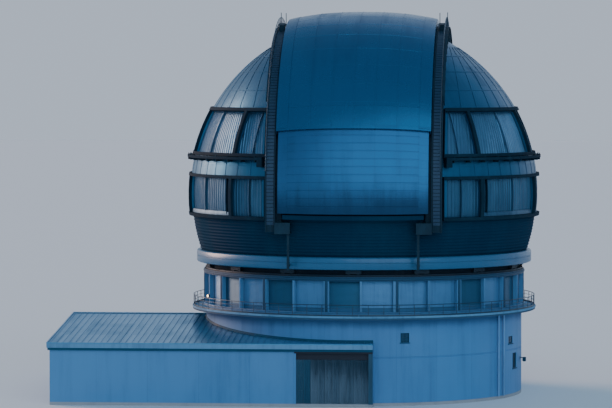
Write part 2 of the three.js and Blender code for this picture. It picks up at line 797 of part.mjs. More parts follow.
// HANDRAILS of the stair that runs over each girder.
const STAIR_RAIL = { x: 8.25, bar: 0.08, height: 0.95, from: 9, to: 171, spacing: 15 };
function stairRail(side) {
  const { x, bar, height, from, to, spacing } = STAIR_RAIL;
  const high = ARCH.top + height;
  const rail = archBand(side, x - bar / 2, x + bar / 2, high - bar, high).intersect(
    archSlice(from, to),
  );
  const posts = [];
  for (let e = spacing; e < to; e += spacing) {
    const geometry = new THREE.BoxGeometry(bar, height - bar / 2, bar);
    geometry.translate(side * x, -(ARCH.top + FIT + (height - bar / 2) / 2), 0);
    geometry.rotateX(-radians(e));
    posts.push(solidOf(geometry));
  }
  return union([rail, ...posts]);
}
piece(dome, "stair_rail_right", stairRail(1), RAILING_STEEL);
piece(dome, "stair_rail_left", stairRail(-1), RAILING_STEEL);

const model = new THREE.Group();
model.add(building, dome);
model.scale.setScalar(MODEL_SCALE * MM_PER_METRE);

const observatory = new THREE.Group();
observatory.add(model);
export default observatory;
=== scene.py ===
"""An observatory dome on its base building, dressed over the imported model.

Sizes of pieces are the real building's, in metres, and every piece is halved when its mesh is
made, because the model is at 1:2. Sizes in a finish are the halved model's, on which its pattern
lies. Heights of the dome's own pieces are above the ball's centre. An azimuth is 0 at the front
and 90 on the right; an elevation is 0 at the front and 90 overhead. Angles are in degrees.
"""

import bpy
import numpy as np
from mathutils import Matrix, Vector


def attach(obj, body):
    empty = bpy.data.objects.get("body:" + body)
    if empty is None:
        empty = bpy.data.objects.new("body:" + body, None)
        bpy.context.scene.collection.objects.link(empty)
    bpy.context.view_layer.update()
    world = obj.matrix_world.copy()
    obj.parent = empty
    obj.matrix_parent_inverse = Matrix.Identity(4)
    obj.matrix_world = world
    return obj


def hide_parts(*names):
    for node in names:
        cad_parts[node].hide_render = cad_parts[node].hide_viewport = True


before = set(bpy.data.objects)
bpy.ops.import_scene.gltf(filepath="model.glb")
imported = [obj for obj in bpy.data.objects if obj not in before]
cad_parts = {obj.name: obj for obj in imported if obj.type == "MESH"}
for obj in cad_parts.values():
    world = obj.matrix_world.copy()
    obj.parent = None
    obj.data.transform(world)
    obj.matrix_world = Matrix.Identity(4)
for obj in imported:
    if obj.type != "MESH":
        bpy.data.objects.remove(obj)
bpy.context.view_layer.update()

# GROUND SLABS. A round slab of cast concrete carries the base building, and a flat one the annex.
# The round one's edge is struck off with a small chamfer, and rain has left both blotchy.
HALF = 0.5
CENTRE_HEIGHT = 19.7
CREASE = 40.0
SLAB_RADIUS, SLAB_TOP, SLAB_CHAMFER = 15.7, 0.3, 0.03
CENTRE_HOLE = 0.02
SEAM_DEPTH = 0.0015


def new_object(name, data):
    """A new object in the scene, for a mesh, a light or a camera."""
    item = bpy.data.objects.new(name, data)
    bpy.context.scene.collection.objects.link(item)
    return item


def make_piece(name, shapes, finishes, body, stands_for=()):
    """One mesh object made of shapes, each (points, face arrays, number of its finish).

    The points are lifted to the ball's centre if the piece is on the dome, and then halved. An
    edge bent more than the crease angle stays sharp, and the rest is shaded smooth.
    """
    points, faces, numbers, start = [], [], [], 0
    for shape_points, shape_faces, number in shapes:
        points.append(shape_points.reshape(-1, 3))
        for cells in shape_faces:
            faces += (cells + start).tolist()
            numbers += [number] * len(cells)
        start += len(points[-1])
    lift = 0.0 if body == "building" else CENTRE_HEIGHT
    points = (np.concatenate(points) + [0.0, 0.0, lift]) * HALF
    used = np.zeros(len(points), bool)
    used[np.concatenate(faces)] = True
    renumbered = np.cumsum(used) - 1
    faces = [renumbered[corners].tolist() for corners in faces]
    mesh = bpy.data.meshes.new(name)
    mesh.from_pydata(points[used].tolist(), [], faces)
    mesh.polygons.foreach_set("material_index", np.array(numbers, np.int32))
    mesh.polygons.foreach_set("use_smooth", np.ones(len(faces), bool))
    mesh.update()
    mesh.set_sharp_from_angle(angle=np.radians(CREASE))
    for finish in finishes:
        mesh.materials.append(finish)
    piece = new_object(name, mesh)
    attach(piece, body)
    if stands_for:
        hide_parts(*stands_for)


def dress(node, finish):
    """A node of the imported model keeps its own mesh, and gets a finish."""
    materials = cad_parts[node].data.materials
    materials.clear()
    materials.append(finish)


def upright_points(azimuths, radii, heights):
    """Points on rings about the upright axis: x = r sin a, y = -r cos a, z = h."""
    a, r, h = np.broadcast_arrays(np.radians(azimuths), radii, heights)
    return np.stack([r * np.sin(a), -r * np.cos(a), h], axis=-1)


def level_points(elevations, distances, offsets):
    """Points on rings about the level axis: x = offset, y = -d cos e, z = d sin e."""
    e, d, x = np.broadcast_arrays(np.radians(elevations), distances, offsets)
    return np.stack([x, -d * np.cos(e), d * np.sin(e)], axis=-1)


def turned_profile(profile, angles, place=upright_points, number=0):
    """A closed profile carried round an axis: row i is the profile's points at angle i.

    Over a whole turn the last row joins the first; over less, the profile closes both ends.
    The profile runs anticlockwise in (distance from the axis, height along it).
    """
    angles = np.asarray(angles, float)
    whole = abs(abs(angles[-1] - angles[0]) - 360.0) < 1e-6
    rows = angles[:-1] if whole else angles
    distance, height = np.asarray(profile, float).T
    points = place(rows[:, None], distance[None, :], height[None, :])
    n, m = len(rows), len(profile)
    i = np.arange(n if whole else n - 1)[:, None]
    j = np.arange(m)[None, :]
    following, beside = (i + 1) % n, (j + 1) % m
    cells = np.stack(
        [i * m + j, following * m + j, following * m + beside, i * m + beside], axis=-1
    ).reshape(-1, 4)
    faces = [cells]
    if not whole:
        faces += [np.arange(m)[None, :], (np.arange(m)[::-1] + (n - 1) * m)[None, :]]
    if place is level_points:
        faces = [cell[:, ::-1] for cell in faces]
    return points, faces, number


def put(tree, kind, feeds, **settings):
    """One shader node. A fed socket takes a number, a colour or another node's output."""
    node = tree.nodes.new("ShaderNode" + kind)
    for setting, value in settings.items():
        setattr(node, setting, value)
    for socket, value in feeds.items():
        if isinstance(value, bpy.types.NodeSocket):
            tree.links.new(value, node.inputs[socket])
        else:
            node.inputs[socket].default_value = value
    return node.outputs[0]


def measured(tree, operation, first, second=0.0):
    """One sum on two values, such as a product or the smaller of the two."""
    return put(tree, "Math", {0: first, 1: second}, operation=operation)


def ranged(tree, value, low, high, to_low=0.0, to_high=1.0):
    """A value carried from one range to another, and held at its ends."""
    feeds = {"Value": value, "From Min": low, "From Max": high, "To Min": to_low, "To Max": to_high}
    return put(tree, "MapRange", feeds, interpolation_type="SMOOTHSTEP")


def mixed(tree, share, first, second):
    """A colour between two colours, by a share from 0 to 1."""
    return put(tree, "MixRGB", {"Fac": share, "Color1": (*first, 1.0), "Color2": (*second, 1.0)})


def surface_place(tree, lie):
    """Where a point is on its surface, in metres: (along, up), and the point itself.

    The lie of the surface says how it bends: round the upright axis or the level axis at a
    distance, so that along = angle x distance, or flat in x-z, y-z or x-y.
    """
    kind, distance = lie
    point = tree.nodes.new("ShaderNodeTexCoord").outputs["Object"]
    parts = tree.nodes.new("ShaderNodeSeparateXYZ")
    tree.links.new(point, parts.inputs[0])
    x, y, z = parts.outputs
    if kind in ("x-z", "y-z", "x-y"):
        return {"x": x, "y": y}[kind[0]], {"z": z, "y": y}[kind[2]], point
    back = measured(tree, "MULTIPLY", y, -1.0)
    if kind == "upright":
        angle = measured(tree, "ARCTAN2", x, back)
        return measured(tree, "MULTIPLY", angle, distance), z, point
    above = measured(tree, "SUBTRACT", z, CENTRE_HEIGHT * HALF)
    angle = measured(tree, "ARCTAN2", above, back)
    return measured(tree, "MULTIPLY", angle, distance), x, point


def weathered_finish(
    name, colour, dirt_and_shade, rough, metal=0.0, lie=("x-z", 0.0), panel=None, seam=0.004, spread=0.3,
    streaks=0.4, streak_size=(2.2, 0.12), grain=60.0, grain_depth=0.001, coat=0.0, shine=0.35,
    painted_shade_end=None,
):
    """A finish that has stood outdoors.

    The colour moves towards the dirt colour with the sum of: streaks that are noise stretched one way,
    broad blotches (spread is how strong they are), a fine grain, a tone of its own for every panel,
    and
    an end painted darker as painted shade: (along or up, where it is full, where it is gone, how
    strong). The dirt colour is so also the colour of that painted shade.
    Seams between panels, whose size is given along and up, are darker and sunk. Roughness
    follows the same sum, and the grain and the blotches lift the surface.
    """
    finish = bpy.data.materials.new(name)
    finish.use_nodes = True
    tree = finish.node_tree
    shader = tree.nodes["Principled BSDF"]
    along, up, point = surface_place(tree, lie)
    broad = put(tree, "TexNoise", {"Vector": point, "Scale": 0.35, "Detail": 5.0, "Roughness": 0.6})
    stretched = put(
        tree,
        "CombineXYZ",
        {
            0: measured(tree, "MULTIPLY", along, streak_size[0]),
            1: measured(tree, "MULTIPLY", up, streak_size[1]),
        },
    )
    run = put(tree, "TexNoise", {"Vector": stretched, "Scale": 1.0, "Detail": 6.0, "Roughness": 0.65})
    fine = put(tree, "TexNoise", {"Vector": point, "Scale": grain, "Detail": 4.0, "Roughness": 0.6})
    amount = measured(tree, "MULTIPLY", ranged(tree, run, 0.42, 0.75), streaks)
    blotch = measured(tree, "MULTIPLY", ranged(tree, broad, 0.35, 0.7), spread)
    amount = measured(tree, "ADD", amount, blotch)
    amount = measured(tree, "ADD", amount, ranged(tree, fine, 0.3, 0.8, -0.05, 0.08))
    height = measured(tree, "MULTIPLY", fine, grain_depth)
    height = measured(tree, "ADD", height, measured(tree, "MULTIPLY", broad, 0.02))
    if panel:
        p = measured(tree, "DIVIDE", along, panel[0])
        q = measured(tree, "DIVIDE", up, panel[1])
        cell = put(
            tree, "CombineXYZ", {0: measured(tree, "FLOOR", p), 1: measured(tree, "FLOOR", q)}
        )
        tone = put(tree, "TexWhiteNoise", {"Vector": cell}, noise_dimensions="3D")
        amount = measured(tree, "ADD", amount, measured(tree, "MULTIPLY", tone, spread * 1.3))
        edge_p = measured(tree, "MULTIPLY", measured(tree, "PINGPONG", p, 0.5), panel[0])
        edge_q = measured(tree, "MULTIPLY", measured(tree, "PINGPONG", q, 0.5), panel[1])
        joint = ranged(tree, measured(tree, "MINIMUM", edge_p, edge_q), seam * 0.3, seam, 1.0, 0.0)
        amount = measured(tree, "ADD", amount, measured(tree, "MULTIPLY", joint, 0.45))
        height = measured(tree, "SUBTRACT", height, measured(tree, "MULTIPLY", joint, SEAM_DEPTH))
    # Painted shade: towards one end the colour is pushed to the dirt colour, as if that end were
    # shaded.
    if painted_shade_end:
        way, full, gone, extra = painted_shade_end
        reach = {"along": along, "up": up}[way]
        amount = measured(tree, "ADD", amount, ranged(tree, reach, full, gone, extra, 0.0))
    soiled_and_shaded = mixed(tree, ranged(tree, amount, 0.0, 1.0), colour, dirt_and_shade)
    tree.links.new(soiled_and_shaded, shader.inputs["Base Color"])
    patchy = ranged(tree, amount, 0.0, 1.0, rough - 0.06, min(rough + 0.22, 1.0))
    tree.links.new(patchy, shader.inputs["Roughness"])
    bump = put(tree, "Bump", {"Height": height, "Strength": 0.6, "Distance": 1.0})
    tree.links.new(bump, shader.inputs["Normal"])
    shader.inputs["Metallic"].default_value = metal
    shader.inputs["Coat Weight"].default_value = coat
    shader.inputs["Specular IOR Level"].default_value = shine
    return finish


concrete = weathered_finish(
    "cast_concrete", (0.30, 0.34, 0.38), (0.13, 0.15, 0.17), 0.85, lie=("x-y", 0.0), spread=0.15,
    streaks=0.3, grain_depth=0.004,
)
whole_turn = np.linspace(0.0, 360.0, 145)
slab_profile = [
    (CENTRE_HOLE, 0.0),
    (SLAB_RADIUS, 0.0),
    (SLAB_RADIUS, SLAB_TOP - SLAB_CHAMFER),
    (SLAB_RADIUS - SLAB_CHAMFER, SLAB_TOP),
    (CENTRE_HOLE, SLAB_TOP),
]
make_piece(
    "round_slab", [turned_profile(slab_profile, whole_turn)], [concrete], "building",
    ["base_slab"],
)
dress("annex_slab", concrete)

# ROUND WALL. The base is a reinforced concrete drum, rendered and painted a pale blue-grey. It was
# poured in segments, which meet at upright joints, and one level joint runs round it under the
# small windows. Close under the gallery the render is painted darker, as painted shade of the deck.
WALL_RADIUS, WALL_THICKNESS = 15.7, 0.4
WALL_LOW, WALL_HIGH, LINTEL_LOW = 0.3006, 8.2994, 5.1
SEGMENT_GAP = 0.004
LEVEL_JOINT, JOINT_HALF, JOINT_SLOPE, JOINT_DEPTH = 4.62, 0.05, 0.02, 0.05
WALL_SEGMENTS = {
    "base_wall_lintel": (-20.7, 5.7),
    "base_wall_1": (5.7, 80.0),
    "base_wall_2": (80.0, 140.0),
    "base_wall_3": (140.0, 205.0),
    "base_wall_4": (205.0, 270.0),
    "base_wall_5": (270.0, 339.3),
}
SMALL_OPENINGS = {
    "window_front": (18.0, 0.85, 6.05, 6.95),
    "window_right": (69.6, 1.1, 5.25, 5.95),
    "vent_right": (74.0, 1.2, 2.75, 4.25),
}
BOX_FACES = [
    np.array([(3, 2, 1, 0), (4, 5, 6, 7), (0, 1, 5, 4), (1, 2, 6, 5), (2, 3, 7, 6), (3, 0, 4, 7)])
]


def plate(outer, inner, keep=None, closed=False, number=0):
    """A closed plate between two grids of points, the outer and the inner one.

    The kept cells face outwards on the outer grid and the other way on the inner grid. An edge
    that belongs to one kept cell only gets a wall between the grids. In a closed grid the last
    column joins the first.
    """
    rows, columns = outer.shape[:2]
    r = np.arange(rows - 1)[:, None]
    c = np.arange(columns if closed else columns - 1)[None, :]
    following = (c + 1) % columns
    corners = [r * columns + c, r * columns + following]
    corners += [(r + 1) * columns + following, (r + 1) * columns + c]
    cells = np.stack(corners, axis=-1)
    cells = cells.reshape(-1, 4) if keep is None else cells[keep]
    edges = np.concatenate([cells[:, [k, (k + 1) % 4]] for k in range(4)])
    total = rows * columns
    lone = ~np.isin(edges[:, 0] * total + edges[:, 1], edges[:, 1] * total + edges[:, 0])
    rim = edges[lone]
    walls = np.column_stack([rim[:, 1], rim[:, 0], rim[:, 0] + total, rim[:, 1] + total])
    points = np.concatenate([outer.reshape(-1, 3), inner.reshape(-1, 3)])
    return points, [cells, cells[:, ::-1] + total, walls], number


def ring_grid(azimuths, radii, heights):
    """A grid of points about the upright axis: a row for each height, a column for each azimuth.

    The radius is one number, or one for each row. The azimuths may differ from row to row.
    """
    heights = np.asarray(heights, float)
    radii = np.broadcast_to(radii, heights.shape)
    return upright_points(azimuths, radii[:, None], heights[:, None])


def steps_between(marks, longest):
    """Values from the first mark to the last, through every mark, none further apart than longest."""
    values = [marks[0]]
    for low, high in zip(marks[:-1], marks[1:]):
        count = max(int(np.ceil((high - low) / longest - 1e-9)), 1)
        values += np.linspace(low, high, count + 1)[1:].tolist()
    return np.array(values)


def inside(values, low, high):
    """True for each step between two values whose middle lies between low and high."""
    middle = (values[:-1] + values[1:]) / 2
    return (middle > low) & (middle < high)


def box_at(azimuth, radius, depth, width, low, high, number=0):
    """A box across the radius at an azimuth: its eight corners turned about the upright axis."""
    sides = np.array([(-1, -1), (1, -1), (1, 1), (-1, 1)]) / 2
    across, outward = sides[:, 0] * width, radius - sides[:, 1] * depth
    a = np.radians(azimuth)
    plan = np.stack(
        [across * np.cos(a) + outward * np.sin(a), across * np.sin(a) - outward * np.cos(a)], axis=-1
    )
    lower = np.column_stack([plan, np.full(4, low)])
    upper = np.column_stack([plan, np.full(4, high)])
    return np.concatenate([lower, upper]), BOX_FACES, number


def wall_segment(start, end, low):
    """Part of the round wall, from one azimuth to another and from a height up to the gallery.

    Its face is sunk along the level joint, and the cells where an opening is are left out.
    """
    marks, levels = [start + SEGMENT_GAP, end - SEGMENT_GAP], [low, WALL_HIGH]
    cuts = []
    for azimuth, width, sill, head in SMALL_OPENINGS.values():
        half = np.degrees(width / 2 / WALL_RADIUS)
        if start < azimuth < end:
            marks += [azimuth - half, azimuth + half]
            levels += [sill, head]
            cuts.append((azimuth - half, azimuth + half, sill, head))
    if low < LEVEL_JOINT:
        for reach in (JOINT_HALF, JOINT_HALF + JOINT_SLOPE):
            levels += [LEVEL_JOINT - reach, LEVEL_JOINT + reach]
    azimuths = steps_between(sorted(marks), 1.5)
    heights = steps_between(sorted(levels), 1.2)
    keep = np.ones((len(heights) - 1, len(azimuths) - 1), bool)
    for left, right, sill, head in cuts:
        keep &= ~(inside(heights, sill, head)[:, None] & inside(azimuths, left, right)[None, :])
    in_joint = np.abs(heights - LEVEL_JOINT) < JOINT_HALF + JOINT_SLOPE / 2
    outer = ring_grid(azimuths, WALL_RADIUS - JOINT_DEPTH * in_joint, heights)
    return plate(outer, ring_grid(azimuths, WALL_RADIUS - WALL_THICKNESS, heights), keep)


render_look = dict(
    rough=0.62, seam=0.006, spread=0.16, streaks=0.34, streak_size=(1.5, 0.10), grain=45.0,
    grain_depth=0.004,
)
# The wall's top metre or so under the gallery is darkened: painted shade of the deck's overhang.
round_render = weathered_finish(
    "painted_render_round", (0.069, 0.242, 0.490), (0.031, 0.125, 0.272),
    lie=("upright", WALL_RADIUS * HALF), panel=(2.05, 20.0), painted_shade_end=("up", 4.2, 3.55, 0.9),
    **render_look
)
for node, (start, end) in WALL_SEGMENTS.items():
    low = LINTEL_LOW if node == "base_wall_lintel" else WALL_LOW
    make_piece(
        node + "_render", [wall_segment(start, end, low)], [round_render], "building",
        [node],
    )

# SMALL OPENINGS in the round wall: two fixed windows in steel frames with crossed bars, and a
# vent with sloping blades. Each is bolted into its opening, a little behind the face, over a sill.
SETBACK, BAR, FRAME_DEPTH = 0.1, 0.06, 0.12
PLAY = 0.001
BLADE_PITCH, BLADE_WIDTH, BLADE_TILT = 0.1, 0.09, 0.035
window_glass = weathered_finish(
    "window_glass", (0.003, 0.048, 0.105), (0.006, 0.060, 0.115), 0.2, streaks=0.2, grain=12.0,
    grain_depth=0.0002, coat=0.1, shine=0.2,
)
frame_steel = weathered_finish(
    "window_frame_steel", (0.004, 0.042, 0.084), (0.010, 0.056, 0.100), 0.6, spread=0.2,
    streaks=0.2, grain=80.0, shine=0.1,
)
for opening, (azimuth, width, sill, head) in SMALL_OPENINGS.items():
    radius, clear = WALL_RADIUS - SETBACK, width - 2 * BAR
    aside = np.degrees((width - BAR) / 2 / radius)
    shapes = []
    for at in (azimuth - aside, azimuth + aside):
        shapes.append(box_at(at, radius, FRAME_DEPTH, BAR, sill + PLAY, head - PLAY, 1))
    for low in (sill + PLAY, head - BAR - PLAY):
        shapes.append(box_at(azimuth, radius, FRAME_DEPTH - 0.002, clear, low, low + BAR, 1))
    shapes.append(box_at(azimuth, WALL_RADIUS + 0.01, 0.14, width + 0.16, sill - 0.08, sill - 0.02, 1))
    if opening == "vent_right":
        for low in np.arange(sill + BAR + 0.02, head - BAR - 0.06, BLADE_PITCH):
            blade = box_at(azimuth, radius, 0.03, clear, low, low + BLADE_WIDTH, 1)
            tilt = upright_points(azimuth, BLADE_TILT, 0.0)
            blade[0][4:] -= tilt
            blade[0][:4] += tilt
            shapes.append(blade)
        shapes.append(box_at(azimuth, radius - 0.05, 0.02, width - 0.02, sill + 0.01, head - 0.01))
    else:
        middle = (sill + head) / 2
        shapes += [
            box_at(azimuth, radius, 0.02, clear, sill + BAR, head - BAR),
            box_at(azimuth, radius, 0.07, 0.04, sill + BAR, head - BAR, 1),
            box_at(azimuth, radius, 0.072, clear, middle - 0.02, middle + 0.02, 1),
        ]
    make_piece(
        opening + "_glazing", shapes, [window_glass, frame_steel], "building",
        [opening + "_pane"],
    )

# DOWNPIPES AND WALL LAMP. Two steel pipes, painted paler than the wall, run down it on clamps from
# under the gallery. A steel floodlight hangs on a short arm at the right-hand edge, with cooling
# fins on its back and a pale lens below.
PIPE_AZIMUTHS = (59.0, 62.5)
PIPE_RADIUS, PIPE_STANDOFF = 0.09, 0.2
PIPE_LEVELS = (0.302, 0.45, 2.0, 4.0, 6.0, 8.0, 8.298)
CLAMP_LEVELS, SOCKET_LEVELS = (2.4, 5.4, 7.8), (4.0, 6.6)
LAMP_AZIMUTH = 83.0


def tube(path, radius, sides=10, number=0):
    """A round bar along a path: at every point, a circle in the plane square to the path.

    The circle's two axes come from the path's direction d and a fixed guide g: d x g, and then
    (d x g) x d. A flat face closes each end.
    """
    path = np.asarray(path, float)
    direction = np.gradient(path, axis=0)
    direction /= np.linalg.norm(direction, axis=1)[:, None]
    span = path.max(0) - path.min(0)
    guide = np.eye(3)[np.argmin(span + np.abs(direction).mean(0))]
    first = np.cross(direction, guide)
    first /= np.linalg.norm(first, axis=1)[:, None]
    second = np.cross(first, direction)
    turn = np.linspace(0.0, 2 * np.pi, sides, endpoint=False)
    circle = np.cos(turn)[None, :, None] * first[:, None, :]
    circle = circle - np.sin(turn)[None, :, None] * second[:, None, :]
    points = path[:, None, :] + radius * circle
    i = np.arange(len(path) - 1)[:, None] * sides
    j = np.arange(sides)[None, :]
    beside = (j + 1) % sides
    cells = np.stack([i + j, i + beside, i + sides + beside, i + sides + j], axis=-1)
    ends = [np.arange(sides)[::-1][None, :], (np.arange(sides) + (len(path) - 1) * sides)[None, :]]
    return points, [cells.reshape(-1, 4), *ends], number


def pipe_length(azimuth, heights, radius):
    """A length of pipe, or a sleeve round it, at the pipe's distance from the wall."""
    return tube(upright_points(azimuth, WALL_RADIUS + PIPE_STANDOFF, heights), radius, 16)


pipe_paint = weathered_finish(
    "downpipe_paint", (0.135, 0.330, 0.580), (0.060, 0.180, 0.340), 0.40, 0.2,
    lie=("upright", WALL_RADIUS * HALF), grain=50.0,
)
lamp_lens = weathered_finish(
    "lamp_lens", (0.75, 0.72, 0.62), (0.4, 0.38, 0.34), 0.15, spread=0.1, streaks=0.3, grain=90.0,
    coat=0.5,
)
for number, azimuth in enumerate(PIPE_AZIMUTHS, 1):
    shapes = [pipe_length(azimuth, PIPE_LEVELS, PIPE_RADIUS)]
    for low in CLAMP_LEVELS:
        shapes.append(box_at(azimuth, WALL_RADIUS + 0.08, 0.16, 0.07, low + 0.03, low + 0.09))
        shapes.append(pipe_length(azimuth, (low, low + 0.12), PIPE_RADIUS + 0.02))
    for low in SOCKET_LEVELS:
        shapes.append(pipe_length(azimuth, (low, low + 0.18), PIPE_RADIUS + 0.014))
    make_piece(
        f"downpipe_{number}", shapes, [pipe_paint], "building",
        [f"downpipe_right_{number}"],
    )
shapes = [
    box_at(LAMP_AZIMUTH, WALL_RADIUS + 0.17, 0.34, 0.08, 3.52, 3.6),
    box_at(LAMP_AZIMUTH, WALL_RADIUS + 0.01, 0.02, 0.22, 3.42, 3.68),
    box_at(LAMP_AZIMUTH, WALL_RADIUS + 0.45, 0.28, 0.48, 3.2, 3.56),
    box_at(LAMP_AZIMUTH, WALL_RADIUS + 0.45, 0.30, 0.50, 3.56, 3.6),
    box_at(LAMP_AZIMUTH, WALL_RADIUS + 0.45, 0.24, 0.44, 3.165, 3.2, 1),
]
for across in np.linspace(-0.7, 0.7, 7):
    shapes.append(box_at(LAMP_AZIMUTH + across, WALL_RADIUS + 0.3, 0.03, 0.02, 3.22, 3.54))
make_piece(
    "floodlight", shapes, [frame_steel, lamp_lens], "building", ["wall_lamp"]
)

# ANNEX WALLS AND ROOF. A low block of rendered masonry under two shallow slopes of steel sheet,
# folded together in standing seams, with a capping on the ridge and an apron round the drum. A
# pale board under a folded drip edge trims the eaves and the gable; below it the soffit lies back,
# and its edge is near-black as painted shade.
ANNEX_LEFT, ANNEX_RIGHT, ANNEX_FRONT = -29.0, 1.9, 16.8
RIDGE_HEIGHT, EAVES_HEIGHT, EAVES_REACH = 7.6, 5.95, 16.95
VERGE = -29.15
SEAM_PITCH, SEAM_WIDTH, SEAM_HEIGHT = 0.6, 0.035, 0.06
SEAM_START, DRUM_REACH = 0.06, WALL_RADIUS + 0.05
CAPPING_REACH, CAPPING_END = 0.3, -15.72
annex_look = dict(colour=(0.073, 0.252, 0.495), dirt_and_shade=(0.033, 0.130, 0.278), **render_look)
render_front = weathered_finish(
    "painted_render_front", lie=("x-z", 0.0), panel=(2.45, 20.0), **annex_look
)
render_gable = weathered_finish(
    "painted_render_gable", lie=("y-z", 0.0), panel=(2.8, 20.0), **annex_look
)
roof_sheet = weathered_finish(
    "seamed_roof_sheet", (0.070, 0.290, 0.500), (0.032, 0.165, 0.310), 0.34, 0.55,
    lie=("x-y", 0.0), panel=(0.3, 3.1), spread=0.18, streaks=0.25, streak_size=(3.0, 0.2),
    grain=30.0, grain_depth=0.0006,
)
trim_paint = weathered_finish(
    "pale_trim_paint", (0.105, 0.285, 0.480), (0.058, 0.165, 0.300), 0.42, 0.2,
    panel=(1.5, 20.0), spread=0.2, streaks=0.35, streak_size=(5.0, 0.5), grain_depth=0.0006,
)
# Dark lead for the apron; the same finish makes the soffit's edge near-black as painted shade.
lead_and_shade = weathered_finish(
    "lead_apron_and_painted_shade", (0.006, 0.060, 0.120), (0.014, 0.085, 0.150), 0.62,
    lie=("upright", WALL_RADIUS * HALF), panel=(0.75, 20.0), seam=0.006, streaks=0.3, grain=40.0,
    shine=0.1,
)
for node, finish in (
    ("annex_front_wall", render_front),
    ("annex_back_wall", render_front),
    ("annex_gable_wall", render_gable),
    ("annex_roof_front", roof_sheet),
    ("annex_roof_back", roof_sheet),
):
    dress(node, finish)


def slab_between(ends, width, height, number=0):
    """A strip with an upright section between two points: a width along x, and a height up."""
    (x0, y0, z0), (x1, y1, z1) = ends
    half = width / 2
    lower = [(x0 - half, y0, z0), (x0 + half, y0, z0), (x1 + half, y1, z1), (x1 - half, y1, z1)]
    lower = np.array(lower, float)
    if y1 < y0:
        lower = lower[::-1]
    return np.concatenate([lower, lower + [0.0, 0.0, height]]), BOX_FACES, number


def prism(near, far):
    """A solid between two like outlines, which run anticlockwise as seen from beyond the far one."""
    n = len(near)
    k = np.arange(n)
    sides = np.stack([k, (k + 1) % n, (k + 1) % n + n, k + n], axis=-1)
    return np.concatenate([near, far]), [sides, k[::-1][None, :], k[None, :] + n], 0


def roof_height(y):
    """The roof's top surface: the ridge's height less the slope times the distance from it."""
    return RIDGE_HEIGHT - (RIDGE_HEIGHT - EAVES_HEIGHT) / ANNEX_FRONT * np.abs(y)


roof_seams = []
for x in np.arange(ANNEX_LEFT + 0.05, ANNEX_RIGHT, SEAM_PITCH):
    near = np.sqrt(DRUM_REACH**2 - x**2) if abs(x) < DRUM_REACH else SEAM_START
    for side in (-1, 1):
        ends = [(x, side * y, roof_height(y) - 0.01) for y in (near, EAVES_REACH - 0.02)]
        roof_seams.append(slab_between(ends, SEAM_WIDTH, SEAM_HEIGHT))
capping_y = np.array([-1, 0, 1, 1, 0, -1]) * CAPPING_REACH
capping_z = roof_height(capping_y) + np.repeat([0.045, 0.075], 3)
roof_seams.append(
    prism(*[np.column_stack([np.full(6, x), capping_y, capping_z]) for x in (VERGE, CAPPING_END)])
)
apron_azimuths = np.linspace(-186.8, 6.8, 99)
apron_low = roof_height(WALL_RADIUS * np.cos(np.radians(apron_azimuths))) - 0.03
apron_section = np.array([(0.003, 0.0), (0.10, 0.0), (0.10, 0.05), (0.03, 0.26), (0.003, 0.26)])
apron_points = upright_points(
    apron_azimuths[:, None], WALL_RADIUS + apron_section[:, 0],
    apron_low[:, None] + apron_section[:, 1],
)
roof_seams.append((apron_points, turned_profile(apron_section, apron_azimuths)[1], 1))
make_piece("roof_seams", roof_seams, [roof_sheet, lead_and_shade], "building")

# Each strip of the trim is (how far forward of the eaves, how far its foot is below the top, how
# high), and they are in turn the folded drip edge, the pale board and the soffit's edge, near-black
# as painted shade.
BOARD_STRIPS = ((0.135, 0.085, 0.085), (0.12, 0.515, 0.43), (0.04, 0.75, 0.235))
BOARD_RISE, BOARD_GAP, GABLE_THINNER = 0.08, 0.001, 0.016
EAVES_TOP = roof_height(EAVES_REACH) + BOARD_RISE
RIDGE_TOP = RIDGE_HEIGHT + BOARD_RISE
eaves_boards = []
for number, (forward, drop, height) in enumerate(BOARD_STRIPS):
    for side in (-1, 1):
        reach, foot = side * (EAVES_REACH + forward), EAVES_TOP - drop
        middle = (VERGE + ANNEX_RIGHT) / 2
        ends = [(middle, side * (EAVES_REACH + BOARD_GAP), foot), (middle, reach, foot)]
        eaves_boards.append(slab_between(ends, ANNEX_RIGHT - VERGE, height, number))
        across = forward - GABLE_THINNER
        x = VERGE - BOARD_GAP - across / 2
        ends = [(x, 0.0, RIDGE_TOP - drop), (x, reach, foot)]
        eaves_boards.append(slab_between(ends, across, height, number))
make_piece(
    "eaves_boards", eaves_boards, [roof_sheet, trim_paint, lead_and_shade], "building",
    ["annex_fascia"],
)

# FOLDING DOOR. Ten steel leaves, hinged in pairs under a track, shut off the vehicle entrance.
# Each leaf is a sheet pressed into upright ribs on a frame; the first two are painted dark blue, and
# the steel post at the annex's corner is as dark. The other leaves darken towards the top as painted
# shade of the deep doorway, and the track's cover and the surround's head over it are near-black as
# painted shade.
DOOR_LEFT, DOOR_RIGHT, DOOR_TOP, DOOR_FOOT = -5.4, 1.5, 5.1, 0.302
DOOR_FACE, LEAF_FOLD, LEAF_BACK = 16.63, 0.12, 0.2
LEAVES, DARK_LEAVES = 10, 2
LEAF_GAP, LEAF_EDGE = 0.01, 0.06
LEAF_LEVELS, BRACE_LEVELS, BRACE_HEIGHT = (0.34, 2.6, 4.5), (DOOR_FOOT, 1.5, 2.9, 4.3), 0.1
RIBS, RIB_DEPTH = 3, 0.045
SURROUND_WIDTH, SURROUND_DEPTH = 0.16, 0.099
# The leaves' colour darkens over their upper part: painted shade of the deep doorway.
door_paint = weathered_finish(
    "door_paint", (0.065, 0.130, 0.190), (0.010, 0.040, 0.070), 0.48, 0.2, streaks=0.5,
    streak_size=(6.0, 0.5), grain=40.0, grain_depth=0.0008, painted_shade_end=("up", 2.2, 0.9, 0.6),
)
post_paint = weathered_finish(
    "door_post_paint", (0.012, 0.072, 0.130), (0.006, 0.040, 0.080), 0.5, 0.1, streaks=0.45,
    streak_size=(6.0, 0.5), grain=40.0, grain_depth=0.0008,
)
